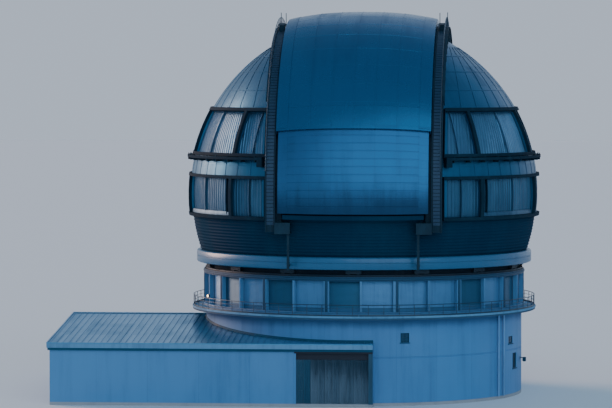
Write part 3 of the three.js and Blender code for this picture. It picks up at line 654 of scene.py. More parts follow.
# Near-black, standing in as painted shade at the door's head: the track's cover and the surround's
# head.
door_shadow = weathered_finish(
    "door_head_painted_shade", (0.012, 0.020, 0.034), (0.030, 0.040, 0.055), 0.6, 0.3, streaks=0.3,
)


def front_grid(xs, ys, heights):
    """Points on an upright sheet: x and y go together along it, and each row is at one height."""
    x, z = np.meshgrid(xs, heights)
    return np.stack([x, np.broadcast_to(ys, x.shape), z], axis=-1)


def front_plate(xs, ys, heights, depth, number):
    """A flat plate that faces the front, as deep as said."""
    sheet = front_grid(xs, ys, heights)
    return plate(sheet, sheet + [0.0, depth, 0.0], number=number)


leaf_width = (DOOR_RIGHT - DOOR_LEFT - LEAF_GAP) / LEAVES
rib_pitch = (leaf_width - 2 * LEAF_EDGE) / RIBS
rib_marks = LEAF_EDGE + (np.arange(RIBS)[:, None] + [0.0, 0.3, 0.5, 0.8, 1.0]).ravel() * rib_pitch
marks = np.concatenate([[LEAF_GAP, LEAF_EDGE], rib_marks, [leaf_width - LEAF_GAP]])
sunk = np.concatenate([[0.0, 0.0], np.tile([0.0, 0.0, RIB_DEPTH, RIB_DEPTH, 0.0], RIBS), [0.0]])
leaves = []
for leaf in range(LEAVES):
    start = DOOR_LEFT + LEAF_GAP / 2 + leaf * leaf_width
    number = 2 if leaf < DARK_LEAVES else 0
    across = marks / leaf_width
    fold = (across if leaf % 2 == 0 else 1 - across) * LEAF_FOLD
    outer = front_grid(start + marks, fold + sunk - DOOR_FACE, LEAF_LEVELS)
    inner = front_grid(start + marks, LEAF_BACK - DOOR_FACE, LEAF_LEVELS)
    leaves.append(plate(outer, inner, number=number))
    for low in BRACE_LEVELS:
        xs = start + np.array([0.02, leaf_width - 0.02])
        ys = np.array([0.0, LEAF_FOLD] if leaf % 2 == 0 else [LEAF_FOLD, 0.0]) - DOOR_FACE
        leaves.append(front_plate(xs, ys, [low, low + BRACE_HEIGHT], LEAF_FOLD, number))
# The track's cover is near-black as painted shade at the head of the doorway.
track_ends = [DOOR_LEFT + 0.002, DOOR_RIGHT - 0.002]
leaves.append(front_plate(track_ends, 0.03 - DOOR_FACE, [4.5, DOOR_TOP - 0.002], 0.16, 1))
make_piece(
    "folding_door_leaves", leaves, [door_paint, door_shadow, post_paint], "building",
    ["folding_door"],
)
# The surround's head over the door is near-black as painted shade.
surround = []
for xs, heights, number in (
    ([DOOR_LEFT - SURROUND_WIDTH, ANNEX_RIGHT], [DOOR_TOP, EAVES_TOP - 0.751], 1),
    ([DOOR_LEFT - SURROUND_WIDTH, DOOR_LEFT], [DOOR_FOOT, DOOR_TOP], 0),
    ([DOOR_RIGHT, ANNEX_RIGHT], [DOOR_FOOT, DOOR_TOP], 2),
):
    surround.append(front_plate(xs, -(ANNEX_FRONT + 0.1), heights, SURROUND_DEPTH, number))
make_piece(
    "door_surround", surround, [render_front, door_shadow, post_paint], "building",
)

# GALLERY. The observing floor is a concrete disc that reaches out past the wall. Its rim has a
# nosing over a set-back that is near-black as painted shade, and a tubular steel railing is bolted
# on, post by post.
DECK_LOW, DECK_TOP, DECK_RADIUS = 8.3, 8.65, 17.1
RAIL_RADIUS, RAIL_HEIGHTS, POST_STEP = 16.96, (0.4, 0.73), 5.0
deck_profile = [
    (CENTRE_HOLE, DECK_LOW),
    (DECK_RADIUS - 0.16, DECK_LOW),
    (DECK_RADIUS - 0.14, DECK_LOW + 0.03),
    (DECK_RADIUS - 0.10, DECK_LOW + 0.03),
    (DECK_RADIUS - 0.08, DECK_LOW),
    (DECK_RADIUS - 0.06, DECK_LOW),
    (DECK_RADIUS - 0.06, DECK_TOP - 0.20),
    (DECK_RADIUS, DECK_TOP - 0.17),
    (DECK_RADIUS, DECK_TOP - 0.02),
    (DECK_RADIUS - 0.02, DECK_TOP),
    (CENTRE_HOLE, DECK_TOP),
]
deck_render = weathered_finish(
    "gallery_concrete", (0.095, 0.285, 0.480), (0.045, 0.140, 0.260), 0.7,
    lie=("upright", DECK_RADIUS * HALF), panel=(1.5, 20.0), seam=0.005, spread=0.25,
    streak_size=(3.0, 0.6), grain=40.0, grain_depth=0.003,
)
# Painted shade: a near-black band in the rim's set-back, under the nosing.
painted_shade_concrete = weathered_finish(
    "painted_shade_concrete", (0.020, 0.075, 0.145), (0.035, 0.110, 0.200), 0.8,
    lie=("upright", DECK_RADIUS * HALF), spread=0.4, streaks=0.5, streak_size=(4.0, 0.6),
    grain=40.0, grain_depth=0.003,
)
railing_paint = weathered_finish(
    "railing_paint", (0.022, 0.060, 0.100), (0.060, 0.095, 0.125), 0.42, 0.5,
    lie=("upright", DECK_RADIUS * HALF), spread=0.4, streaks=0.3, grain=70.0,
)


def oblong(near, far, low, high):
    """A profile with four corners, between two distances and two heights."""
    return [(near, low), (far, low), (far, high), (near, high)]


painted_shade_band = oblong(DECK_RADIUS - 0.07, DECK_RADIUS - 0.05, DECK_LOW + 0.002, DECK_TOP - 0.205)
make_piece(
    "gallery_floor",
    [turned_profile(deck_profile, whole_turn), turned_profile(painted_shade_band, whole_turn, number=1)],
    [deck_render, painted_shade_concrete], "building", ["gallery_deck"],
)
kick_plate = oblong(RAIL_RADIUS - 0.03, RAIL_RADIUS + 0.01, DECK_TOP + 0.002, DECK_TOP + 0.14)
for quarter in range(4):
    start = 90.0 * quarter + 2.0
    arc = np.linspace(start + 0.1, start + 89.9, 46)
    shapes = [tube(upright_points(arc, RAIL_RADIUS, DECK_TOP + 1.06), 0.035, 8)]
    for height in RAIL_HEIGHTS:
        shapes.append(tube(upright_points(arc, RAIL_RADIUS, DECK_TOP + height), 0.02, 6))
    shapes.append(turned_profile(kick_plate, arc))
    for azimuth in np.arange(start + 3.0, start + 90.0, POST_STEP):
        post = upright_points(azimuth, RAIL_RADIUS, DECK_TOP + np.array([0.02, 0.55, 1.04]))
        shapes.append(tube(post, 0.026, 8))
        shapes.append(box_at(azimuth, RAIL_RADIUS, 0.12, 0.12, DECK_TOP + 0.001, DECK_TOP + 0.02))
    make_piece(
        f"gallery_rail_{quarter + 1}", shapes, [railing_paint], "building",
        [f"gallery_railing_{quarter + 1}"],
    )

# DRUM. A storey of columns on the gallery carries the dome's track. Two roller shutters of
# interlocked steel slats fill each bay; some openings have darker louvred grilles in their place.
DRUM_RADIUS, DRUM_WALL = 15.9, 0.4
DRUM_LOW, DRUM_TOP = 8.6506, 12.2994
SILL_TOP, HEAD_LOW = 8.95, 12.0
DRUM_START, THIRD, THIRD_GAP = 14.6, 120.0, 0.002
BAY, OPENING = 24.0, 12.0
COLUMN_HALF, POST_HALF = 0.9, 0.4
STRIP_RADIUS, POST_RADIUS = DRUM_RADIUS + 0.02, DRUM_RADIUS - 0.06
DARK_OPENINGS = (2, 4, 8, 10, 14, 18, 20, 24, 26, 28)
CURTAIN_RADIUS, CURTAIN_BACK, SLAT_PITCH = 15.455, 15.425, 0.11
drum_round = ("upright", DRUM_RADIUS * HALF)
drum_render = weathered_finish(
    "painted_render_drum", (0.065, 0.220, 0.415), (0.028, 0.110, 0.225), 0.55, lie=drum_round,
    spread=0.22, streaks=0.45, streak_size=(2.5, 0.25), grain=45.0, grain_depth=0.003,
)
slat_paint = weathered_finish(
    "roller_shutter_paint", (0.066, 0.220, 0.420), (0.030, 0.115, 0.235), 0.42, 0.3,
    lie=drum_round, spread=0.25, streaks=0.45, streak_size=(3.5, 0.2), grain_depth=0.0006,
)
# Near-black paint for the columns' cover strips, and as painted shade on the drum's head under the
# ring beam.
head_shade_and_strip_paint = weathered_finish(
    "drum_head_shade_and_strip_paint", (0.014, 0.062, 0.125), (0.026, 0.074, 0.130), 0.55, 0.1, lie=drum_round,
    streak_size=(3.0, 0.4), shine=0.15,
)
box_paint = weathered_finish(
    "shutter_box_paint", (0.022, 0.120, 0.250), (0.025, 0.085, 0.160), 0.45, 0.3, lie=drum_round,
    streak_size=(3.0, 0.4),
)
grille_paint = weathered_finish(
    "louvre_paint", (0.012, 0.095, 0.190), (0.025, 0.095, 0.160), 0.45, 0.4, lie=drum_round,
    streak_size=(3.5, 0.2), grain_depth=0.0006,
)
cornice = [
    (DRUM_RADIUS, 12.0), (DRUM_RADIUS + 0.06, 12.0), (DRUM_RADIUS + 0.1, 12.04),
    (DRUM_RADIUS + 0.1, 12.16), (DRUM_RADIUS + 0.06, 12.2), (DRUM_RADIUS, 12.2),
]
sill_nosing = [
    (DRUM_RADIUS, 8.86), (DRUM_RADIUS + 0.08, 8.86), (DRUM_RADIUS + 0.1, 8.89),
    (DRUM_RADIUS + 0.08, 8.93), (DRUM_RADIUS, SILL_TOP),
]
# The cornice and the bands under and over it are near-black: painted shade under the ring beam's
# overhang.
ROUND_THE_DRUM = (
    (cornice, 1),
    (oblong(DRUM_RADIUS - 0.01, DRUM_RADIUS + 0.03, 11.9, 12.0), 1),
    (oblong(DRUM_RADIUS - 0.01, DRUM_RADIUS + 0.03, 12.2, 12.298), 1),
    (sill_nosing, 0),
)
slats = np.arange(DRUM_LOW + 0.45, DRUM_TOP - 0.12, SLAT_PITCH)
slat_rise = np.array([0.0, 0.03, 0.06, 0.09])
slat_levels = [[DRUM_LOW + 0.3, DRUM_LOW + 0.44], (slats[:, None] + slat_rise).ravel()]
slat_levels = np.concatenate(slat_levels)
for third in range(3):
    start = DRUM_START + THIRD * third
    ends = (start + THIRD_GAP, start + THIRD - THIRD_GAP)
    marks, cuts = [*ends], []
    for low in start + BAY * np.arange(5):
        middle = low + OPENING
        for cut in (
            (low + COLUMN_HALF, middle - POST_HALF),
            (middle + POST_HALF, low + BAY - COLUMN_HALF),
        ):
            marks += cut
            cuts.append(cut)
    azimuths = steps_between(sorted(marks), 1.35)
    heights = [DRUM_LOW, SILL_TOP, HEAD_LOW, DRUM_TOP]
    keep = np.ones((3, len(azimuths) - 1), bool)
    for left, right in cuts:
        keep[1] &= ~inside(azimuths, left, right)
    outer = ring_grid(azimuths, DRUM_RADIUS, heights)
    shapes = [plate(outer, ring_grid(azimuths, DRUM_RADIUS - DRUM_WALL, heights), keep)]
    for profile, number in ROUND_THE_DRUM:
        shapes.append(turned_profile(profile, np.linspace(*ends, 91), number=number))
    for bay in range(5):
        centre = start + BAY * bay
        if bay:
            shapes.append(box_at(centre, STRIP_RADIUS, 0.08, 0.26, SILL_TOP, HEAD_LOW, 1))
        shapes.append(box_at(centre + OPENING, POST_RADIUS, 0.16, 0.13, SILL_TOP, HEAD_LOW))
    # The first column stands on a seam between two thirds, so its cover strip is beside the seam.
    if third == 0:
        shapes.append(box_at(start + 0.46, STRIP_RADIUS, 0.08, 0.24, SILL_TOP, HEAD_LOW, 1))
    make_piece(
        f"drum_bays_{third + 1}", shapes, [drum_render, head_shade_and_strip_paint], "building",
        [f"drum_columns_{third + 1}"],
    )
    curtain = []
    for opening in range(10):
        left = start + OPENING * opening
        arc = np.linspace(left + 0.05, left + OPENING - 0.05, 9)
        dark = third * 10 + opening in DARK_OPENINGS
        bulge = [0.03, 0.02, 0.01, 0.0] if dark else [0.0, 0.02, 0.02, 0.0]
        proud = np.concatenate([[0.02, 0.02], np.tile(bulge, len(slats))])
        outer = ring_grid(arc, CURTAIN_RADIUS + proud, slat_levels)
        inner = ring_grid(arc, CURTAIN_BACK, slat_levels)
        curtain.append(plate(outer, inner, number=1 if dark else 0))
        for profile in (oblong(15.44, 15.5, 8.952, 9.36), oblong(15.2, 15.49, 12.0, 12.28)):
            curtain.append(turned_profile(profile, arc, number=2))
    make_piece(
        f"drum_curtain_{third + 1}", curtain, [slat_paint, grille_paint, box_paint], "building",
        [f"drum_roller_shutters_{third + 1}"],
    )

# GALLERY LAMP. A small bulkhead lamp, lit, is screwed to a mullion of the drum on the left. Its
# steel back plate carries a moulded glass cover.
LAMP_BAYS_LEFT = 3.5
warm_light = weathered_finish(
    "lit_lamp_glass", (1.0, 0.78, 0.5), (0.9, 0.6, 0.35), 0.3, spread=0.1, streaks=0.3,
    grain=90.0, grain_depth=0.0005,
)
warm_shader = warm_light.node_tree.nodes["Principled BSDF"]
warm_shader.inputs["Emission Color"].default_value = (1.0, 0.7, 0.4, 1.0)
warm_shader.inputs["Emission Strength"].default_value = 6.0
lamp_at = DRUM_START - LAMP_BAYS_LEFT * BAY
make_piece(
    "gallery_lamp",
    [
        box_at(lamp_at, DRUM_RADIUS + 0.08, 0.14, 0.30, 9.61, 9.89),
        box_at(lamp_at, DRUM_RADIUS + 0.18, 0.08, 0.22, 9.65, 9.85, 1),
    ],
    [frame_steel, warm_light], "building",
)

# DOME TRACK. The ring that the dome's wheels run on, bolted down on top of the drum. It is
# flat-bottomed steel rail, bent to the circle and laid end to end.
TRACK_RADIUS, TRACK_TOP = 15.7, 12.5
track_steel = weathered_finish(
    "track_steel", (0.014, 0.036, 0.060), (0.036, 0.056, 0.078), 0.5, 0.4,
    lie=("upright", TRACK_RADIUS * HALF), spread=0.5, streaks=0.5, streak_size=(2.0, 2.0),
    shine=0.15,
)
rail_profile = np.array([
    (-0.17, 12.3006), (0.17, 12.3006), (0.17, 12.34), (0.06, 12.36), (0.04, 12.42),
    (0.10, 12.44), (0.10, 12.495), (-0.10, 12.495), (-0.10, 12.44), (-0.04, 12.42),
    (-0.06, 12.36), (-0.17, 12.34),
]) + [TRACK_RADIUS, 0.0]
make_piece(
    "track_rail", [turned_profile(rail_profile, whole_turn)], [track_steel], "building",
    ["dome_track"],
)

# RING BEAM. A welded steel box ring, painted pale, carries the whole dome. Fifteen two-wheeled
# bogies are bolted under it and run on the track. A rubber curtain is clamped under its inner edge
# and keeps the weather out behind the wheels.
BEAM_INNER, BEAM_OUTER = 15.45, 16.65
BEAM_LOW, BEAM_JOINT, BEAM_HIGH = -6.7, -6.04, -5.5
TRACK_LEVEL = TRACK_TOP - CENTRE_HEIGHT
SEAL_RADIUS = 15.47
BOGIES, CHEEK_OFFSET = 15, 0.14
WHEEL_RADIUS, WHEEL_HALF, WHEEL_SIDES, WHEEL_SPACING = 0.2, 0.09, 24, 0.45
AXLE_HEIGHT = TRACK_LEVEL + 0.203
beam_paint = weathered_finish(
    "ring_beam_paint", (0.016, 0.120, 0.248), (0.009, 0.072, 0.160), 0.38, 0.1,
    lie=("upright", BEAM_OUTER * HALF), panel=(1.745, 20.0), seam=0.005, spread=0.12,
    streaks=0.3, streak_size=(3.0, 0.8), grain=50.0, grain_depth=0.0008, coat=0.1,
)
seal_rubber = weathered_finish(
    "seal_rubber", (0.006, 0.016, 0.028), (0.018, 0.030, 0.044), 0.75,
    lie=("upright", SEAL_RADIUS * HALF), panel=(1.2, 20.0), streak_size=(5.0, 1.0), grain=80.0,
    grain_depth=0.0006, shine=0.05,
)
bogie_paint = weathered_finish(
    "bogie_paint", (0.012, 0.032, 0.052), (0.034, 0.050, 0.066), 0.55, 0.3,
    lie=("upright", TRACK_RADIUS * HALF), spread=0.5, streak_size=(4.0, 2.0), shine=0.15,
)
beam_profile = [
    (BEAM_INNER, BEAM_LOW),
    (BEAM_OUTER - 0.15, BEAM_LOW),
    (BEAM_OUTER - 0.05, BEAM_LOW + 0.04),
    (BEAM_OUTER, BEAM_LOW + 0.14),
    (BEAM_OUTER, BEAM_JOINT - 0.04),
    (BEAM_OUTER - 0.04, BEAM_JOINT - 0.02),
    (BEAM_OUTER - 0.04, BEAM_JOINT + 0.02),
    (BEAM_OUTER, BEAM_JOINT + 0.04),
    (BEAM_OUTER, BEAM_HIGH - 0.16),
    (BEAM_OUTER - 0.05, BEAM_HIGH - 0.05),
    (BEAM_OUTER - 0.15, BEAM_HIGH),
    (BEAM_INNER, BEAM_HIGH),
]
make_piece(
    "ring_beam_box", [turned_profile(beam_profile, whole_turn)], [beam_paint], "dome",
    ["ring_beam"],
)
seal_profile = [
    (SEAL_RADIUS - 0.01, TRACK_LEVEL + 0.01),
    (SEAL_RADIUS + 0.03, TRACK_LEVEL + 0.01),
    (SEAL_RADIUS + 0.02, TRACK_LEVEL + 0.12),
    (SEAL_RADIUS + 0.02, BEAM_LOW + 0.01),
    (SEAL_RADIUS - 0.01, BEAM_LOW + 0.01),
]
make_piece(
    "weather_seal", [turned_profile(seal_profile, whole_turn)], [seal_rubber], "dome",
)


def wheel_at(azimuth):
    """A wheel whose axle points at the upright axis: a disc profile turned round that axle."""
    turn = np.linspace(0.0, 2 * np.pi, WHEEL_SIDES, endpoint=False)
    rim = [(-1.0, 0.25), (-1.0, 0.9), (-0.8, 1.0), (0.8, 1.0), (1.0, 0.9), (1.0, 0.25)]
    along, size = (np.array(rim) * [WHEEL_HALF, WHEEL_RADIUS]).T
    across = size[None, :] * np.sin(turn)[:, None]
    up = size[None, :] * np.cos(turn)[:, None] + AXLE_HEIGHT
    out = TRACK_RADIUS + np.broadcast_to(along, across.shape)
    a = np.radians(azimuth)
    points = np.stack(
        [out * np.sin(a) + across * np.cos(a), -out * np.cos(a) + across * np.sin(a), up], axis=-1
    )
    m = len(rim)
    i, j = np.arange(WHEEL_SIDES)[:, None], np.arange(m)[None, :]
    following, beside = (i + 1) % WHEEL_SIDES, (j + 1) % m
    cells = np.stack(
        [i * m + j, i * m + beside, following * m + beside, following * m + j], axis=-1
    )
    return points, [cells.reshape(-1, 4)], 0


bogies = []
for azimuth in np.arange(BOGIES) * 360.0 / BOGIES:
    for side in (-1, 1):
        cheek = TRACK_RADIUS + side * CHEEK_OFFSET
        bogies.append(box_at(azimuth, cheek, 0.05, 1.5, TRACK_LEVEL + 0.1, BEAM_LOW + 0.02))
        at = azimuth + side * np.degrees(WHEEL_SPACING / TRACK_RADIUS)
        bogies.append(wheel_at(at))
        axle = upright_points(at, TRACK_RADIUS + np.array([-0.2, 0.0, 0.2]), AXLE_HEIGHT)
        bogies.append(tube(axle, 0.055, 10))
    bogies.append(box_at(azimuth, TRACK_RADIUS, 0.34, 0.5, BEAM_LOW - 0.14, BEAM_LOW + 0.02))
make_piece("wheel_bogies", bogies, [bogie_paint], "dome")

# SKIRT. The dark lower zone of the ball is clad in long level ribs of coated sheet, screwed to
# hoops that stand on the ring beam. Between the girders it rises to the slit's sill.
SKIRT_RADIUS, SKIRT_TOP, SLIT_SILL, TOP_UNDER_GIRDER = 17.15, -2.05, -1.35, -3.1
SHEET_DEPTH, SKIRT_DEPTH = 0.06, 0.2
ARCH_INNER, ARCH_OUTER = 7.4, 8.4
RIB_PITCH, RIB_START = 0.3, -5.4
CURB_REACH = 6.7
CROWN_RISE = 0.75
LOWER = dict(half=7.14, edge=17.09, start=-4.4, end=25.0, wheels=(0.0, 22.5))
skirt_finish = weathered_finish(
    "dark_ribbed_sheet", (0.002, 0.027, 0.062), (0.003, 0.038, 0.078), 0.72,
    lie=("upright", 16.8 * HALF), panel=(1.47, 50.0), seam=0.006, spread=0.35, streaks=0.35,
    streak_size=(2.4, 0.5), grain=40.0, grain_depth=0.0008, shine=0.03,
)


def azimuth_at(x, radii):
    """The azimuth at which a ring of a given radius reaches an offset x: asin(x / r)."""
    return np.degrees(np.arcsin(np.clip(x / radii, -1.0, 1.0)))


def spread_columns(knots, counts):
    """Columns spread between knots, a count of them from each knot to the next, in every row."""
    columns = []
    for near, far, count in zip(knots[:-1], knots[1:], counts):
        part = np.arange(count) / count
        columns.append(near[:, None] * (1 - part) + far[:, None] * part)
    return columns


def ring_columns(radii, counts):
    """Azimuths of a whole ring's columns at each radius. Some columns stay on the planes of the
    girders' two sides, front and back, and the rest are spread between them."""
    near, far = azimuth_at(ARCH_INNER, radii), azimuth_at(ARCH_OUTER, radii)
    knots = [-near, near, far, 180 - far, 180 - near, 180 + near, 180 + far, 360 - far, 360 - near]
    return np.concatenate(spread_columns(knots, counts), axis=1)


def ball_radii(ball, heights):
    """The ring radius at a height on a ball: sqrt(R^2 - z^2)."""
    return np.sqrt(ball**2 - np.asarray(heights, float) ** 2)


def crown(edge, half, x):
    """Distance of a crowned sheet from the level axis: edge + rise (1 - |x / half|^2.5)."""
    return edge + CROWN_RISE * (1 - np.abs(np.asarray(x, float) / half) ** 2.5)


def curb(low, high):
    """A curb across the slit: from the ball up to just under the lower shutter's crowned sheet.

    Both surfaces are grids of elevation by offset x; the top follows the crown.
    """
    x = np.linspace(-CURB_REACH, CURB_REACH, 25)
    elevations = np.linspace(low, high, 4)[:, None]
    top = level_points(elevations, crown(LOWER["edge"] - 0.22, LOWER["half"], x), x)
    foot = level_points(elevations, ball_radii(SKIRT_RADIUS - 0.1, x), x)
    return plate(top, foot)


rib_levels = np.arange(RIB_START, SKIRT_TOP - 0.05, RIB_PITCH)
rib_rise = np.array([0.0, 0.05, 0.10, 0.15, 0.20, 0.25])
rib_proud = np.array([0.0, 0.03, 0.055, 0.055, 0.03, 0.0])
heights = np.concatenate([[-5.499], (rib_levels[:, None] + rib_rise).ravel()])
proud = np.concatenate([[0.0], np.tile(rib_proud, len(rib_levels))])
below = heights <= SKIRT_TOP - 0.002
sill_heights = [SKIRT_TOP - 0.001, -1.95, -1.90, -1.85, -1.70, -1.65, -1.60, -1.45, SLIT_SILL]
heights = np.concatenate([heights[below], sill_heights])
proud = np.concatenate([proud[below], [0.0, 0.0, 0.03, 0.045, 0.045, 0.03, 0.0, 0.0, 0.0]])
counts = (24, 2, 54, 2, 24, 2, 54, 2)
sector = np.repeat(np.arange(len(counts)), counts)[None, :]
under_girder, across_slit = sector % 2 == 1, sector == 0
tops = heights[1:][:, None]
keep = np.where(under_girder, tops <= TOP_UNDER_GIRDER, (tops <= SKIRT_TOP) | across_slit)
radii = ball_radii(SKIRT_RADIUS, heights)
columns = ring_columns(radii, counts)
outer = ring_grid(columns, radii - SHEET_DEPTH + proud, heights)
inner = ring_grid(columns, radii - SKIRT_DEPTH, heights)
make_piece(
    "ribbed_skirt", [plate(outer, inner, keep, closed=True), curb(-6.35, -4.95)],
    [skirt_finish], "dome", ["dome_skirt"],
)

# ARCH GIRDERS. Two deep plated box girders arch over the dome, one on each side of the slit. Each
# has a rail for the shutters' wheels on an inner ledge, a stepped walkway between two raised edges
# on top, and stiffener plates welded to its side. Thin legs tie its feet to the ring beam.
ARCH_LOW, ARCH_TOP = 14.3, 16.6
ARCH_FROM, ARCH_TO = -11.0, 191.0
RAIL_EDGE, RAIL_FOOT, RAIL_TOP = 6.8, 15.9, 16.15
PLATE_STEP = 6.0
TREAD_STEP, TREAD_LENGTH = 1.2, 0.29
girder_steel = weathered_finish(
    "dark_girder_paint", (0.006, 0.024, 0.044), (0.017, 0.050, 0.080), 0.55, 0.2,
    lie=("level", ARCH_TOP * HALF), panel=(1.05, 30.0), spread=0.4, streaks=0.35,
    streak_size=(1.2, 3.0), grain=45.0, shine=0.12,
)
walkway_steel = weathered_finish(
    "walkway_grating", (0.012, 0.047, 0.094), (0.028, 0.076, 0.125), 0.5, 0.3,
    lie=("level", ARCH_TOP * HALF), spread=0.4, streak_size=(1.0, 3.0), grain=70.0,
)


def mirrored(shape):
    """The same shape on the left side: x becomes -x, and every face is turned back outwards."""
    points, faces, number = shape
    return points * [-1.0, 1.0, 1.0], [cells[:, ::-1] for cells in faces], number


def make_pairs(*pieces):
    """Pieces of the dome on the right, and then their mirror images on the left.

    Each is (name, shapes, finish, slot, the nodes it stands for or None), without the side's name.
    """
    for side in ("right", "left"):
        for name, shapes, finish, slot, stands_for in pieces:
            sided = shapes if side == "right" else [mirrored(shape) for shape in shapes]
            nodes = [f"{stands_for}_{side}"] if stands_for else ()
            make_piece(f"{name}_{side}", sided, [finish], "dome", nodes)


def arch_box(elevation, low, high, x0, x1, length, number=0):
    """A box standing on an arch: between two distances from the level axis and two offsets, and
    half its length each way along the arc's tangent."""
    e = np.radians(elevation)
    outward = np.array([0.0, -np.cos(e), np.sin(e)])
    along = np.array([0.0, np.sin(e), np.cos(e)])
    corners = [(x0, -1), (x1, -1), (x1, 1), (x0, 1)]
    plan = np.array([np.array([x, 0.0, 0.0]) + along * side * length / 2 for x, side in corners])
    return np.concatenate([plan + outward * low, plan + outward * high]), BOX_FACES, number


def plain_box(x0, x1, y0, y1, z0, z1):
    """A box between two opposite corners."""
    plan = np.array([(x0, y0), (x1, y0), (x1, y1), (x0, y1)], float)
    lower = np.column_stack([plan, np.full(4, z0)])
    return np.concatenate([lower, lower + [0.0, 0.0, z1 - z0]]), BOX_FACES, 0


def raking_post(end):
    """A post inside the skirt: a slanting outline in y and z, carried 0.5 m along x."""
    outline = np.array([(14.45, -1.6), (13.1, -5.499), (13.8, -5.499), (14.45, -2.4)])
    near = np.column_stack([np.full(4, 7.45), end * outline[:, 0], outline[:, 1]])
    points, faces, number = prism(near, near + [0.5, 0.0, 0.0])
    return points, [cells[:, ::end] for cells in faces], number


girder_profile = [
    (ARCH_LOW, ARCH_INNER), (RAIL_FOOT, ARCH_INNER), (RAIL_FOOT, RAIL_EDGE), (16.10, RAIL_EDGE),
    (RAIL_TOP, 6.84), (RAIL_TOP, ARCH_INNER), (ARCH_TOP, ARCH_INNER), (ARCH_TOP, 7.52),
    (16.48, 7.53), (16.48, 8.27), (ARCH_TOP, 8.28), (ARCH_TOP, ARCH_OUTER), (ARCH_LOW, ARCH_OUTER),
]
girder_arc = np.linspace(ARCH_FROM, ARCH_TO, 122)
girder = [turned_profile(girder_profile, girder_arc, level_points)]
for elevation in np.arange(36.0, 145.0, PLATE_STEP):
    girder.append(arch_box(elevation, 15.12, 16.52, 8.38, 8.5, 0.06))
flange_arc = np.linspace(34, 146, 57)
girder.append(turned_profile(oblong(16.50, 16.56, 8.39, 8.55), flange_arc, level_points))
for elevation in np.arange(-9.0, 190.0, PLATE_STEP):
    girder.append(arch_box(elevation, 15.62, 15.92, 6.9, 7.42, 0.05))
# The foot is a face plate, a floor, a roof and three webs. The leg below it is a web, two flanges,
# a collar, and a tie back to the ring beam.
for corners in (
    (5.98, 7.46, -16.86, -16.79, -3.28, -2.22),
    (5.95, 7.48, -16.80, -15.75, -3.3, -3.2),
    (5.95, 7.48, -16.80, -15.75, -2.3, -2.2),
    (6.05, 6.15, -16.80, -15.75, -3.25, -2.25),
    (6.65, 6.75, -16.80, -15.75, -3.25, -2.25),
    (7.36, 7.46, -16.80, -15.75, -3.25, -2.25),
    (6.08, 6.27, -16.55, -16.40, -6.75, -3.25),
    (6.05, 6.30, -16.60, -16.56, -6.75, -3.25),
    (6.05, 6.30, -16.39, -16.35, -6.75, -3.25),
    (6.00, 6.35, -16.62, -16.33, -4.95, -4.85),
    (6.06, 6.29, -16.55, -15.45, -6.4, -6.2),
):
    girder.append(plain_box(*corners))
girder += [raking_post(-1), raking_post(1)]
# The shutters' drive is in the drum at the foot. On top are two cabinets with lids, and two rods.
girder.append(tube(level_points(-10.2, 16.45, [6.1, 6.3, 6.62, 6.9]), 0.24, 20))
for elevation in (78.0, 102.0):
    girder.append(arch_box(elevation, 16.5, 17.1, 7.62, 8.15, 0.9))
    girder.append(arch_box(elevation, 17.1, 17.16, 7.58, 8.19, 1.0))
for elevation, x in ((84.0, 7.62), (91.0, 8.3)):
    girder.append(tube(level_points(elevation, [16.45, 17.0, 17.6, 18.0], x), 0.035, 8))
treads = []
for elevation in np.arange(-8.0, 189.0, TREAD_STEP):
    treads.append(arch_box(elevation, 16.47, 16.54, 7.56, 8.24, TREAD_LENGTH))
make_pairs(
    ("girder", girder, girder_steel, "dark_steel", "arch_girder"),
    ("girder_walkway", treads, walkway_steel, "railing_steel", None),
)

# STAIR RAILS. A tubular handrail with a knee rail stands along the outer edge of each walkway. It
# is welded to posts on the girder, and painted like the gallery's railing.
STAIR_RAIL_X, POST_STEP_UP = 8.25, 4.0
stair_arc = np.linspace(9.0, 171.0, 82)
stair = []
for distance, radius, sides in ((17.51, 0.04, 8), (17.05, 0.022, 6)):
    stair.append(tube(level_points(stair_arc, distance, STAIR_RAIL_X), radius, sides))
for elevation in np.arange(10.0, 171.0, POST_STEP_UP):
    stair.append(tube(level_points(elevation, [16.46, 17.0, 17.5], STAIR_RAIL_X), 0.03, 8))
make_pairs(("stair_handrail", stair, railing_paint, "railing_steel", "stair_rail"))

# SIDE SHELLS. Each side of the ball is a double skin of aluminium sheet on hoops. Narrow cover
# strips close the joints between sheets, and two rows of window openings are cut out of it.
BALL_RADIUS, BALL_THICKNESS = 17.25, 0.2
GIRDER_SIDE, OPENING_SIDE = 8.4006, 8.8
WINDOW_ROWS = {"lower": (-1.75, 1.8), "upper": (4.2, 8.2)}
MULLIONS, MULLION_HALF = (44.0, 78.0, 102.0, 136.0), 0.65
SIDE_COUNTS, GLAZED_INTERVALS = (1, 8, 1, 14, 1, 12, 1, 14, 1, 8, 1), (1, 3, 5, 7, 9)
SHOULDER = 8.5
STRIP_HALF, STRIP_SUNK = 0.035, -0.01
cladding_look = dict(
    colour=(0.012, 0.110, 0.225), dirt_and_shade=(0.005, 0.071, 0.155), rough=0.38, metal=0.7, spread=0.2,
    streaks=0.25, grain=22.0, grain_depth=0.0006, shine=0.1,
)
side_cladding = weathered_finish(
    "satin_ball_cladding", lie=("upright", BALL_RADIUS * HALF), panel=(0.903, 0.95),
    streak_size=(2.6, 0.3), **cladding_look
)


def side_columns(radii, end_at=OPENING_SIDE):
    """Azimuths of one side's columns at each radius: they pass from the girder's side at the
    front to the same plane at the back, through both edges of every mullion."""
    edge, end = azimuth_at(GIRDER_SIDE, radii), azimuth_at(end_at, radii)
    knots = [edge, end]
    for mullion in MULLIONS:
        knots += [np.full_like(radii, mullion + side * MULLION_HALF) for side in (-1, 1)]
    knots += [180 - end, 180 - edge]
    return np.concatenate([*spread_columns(knots, SIDE_COUNTS), knots[-1][:, None]], axis=1)


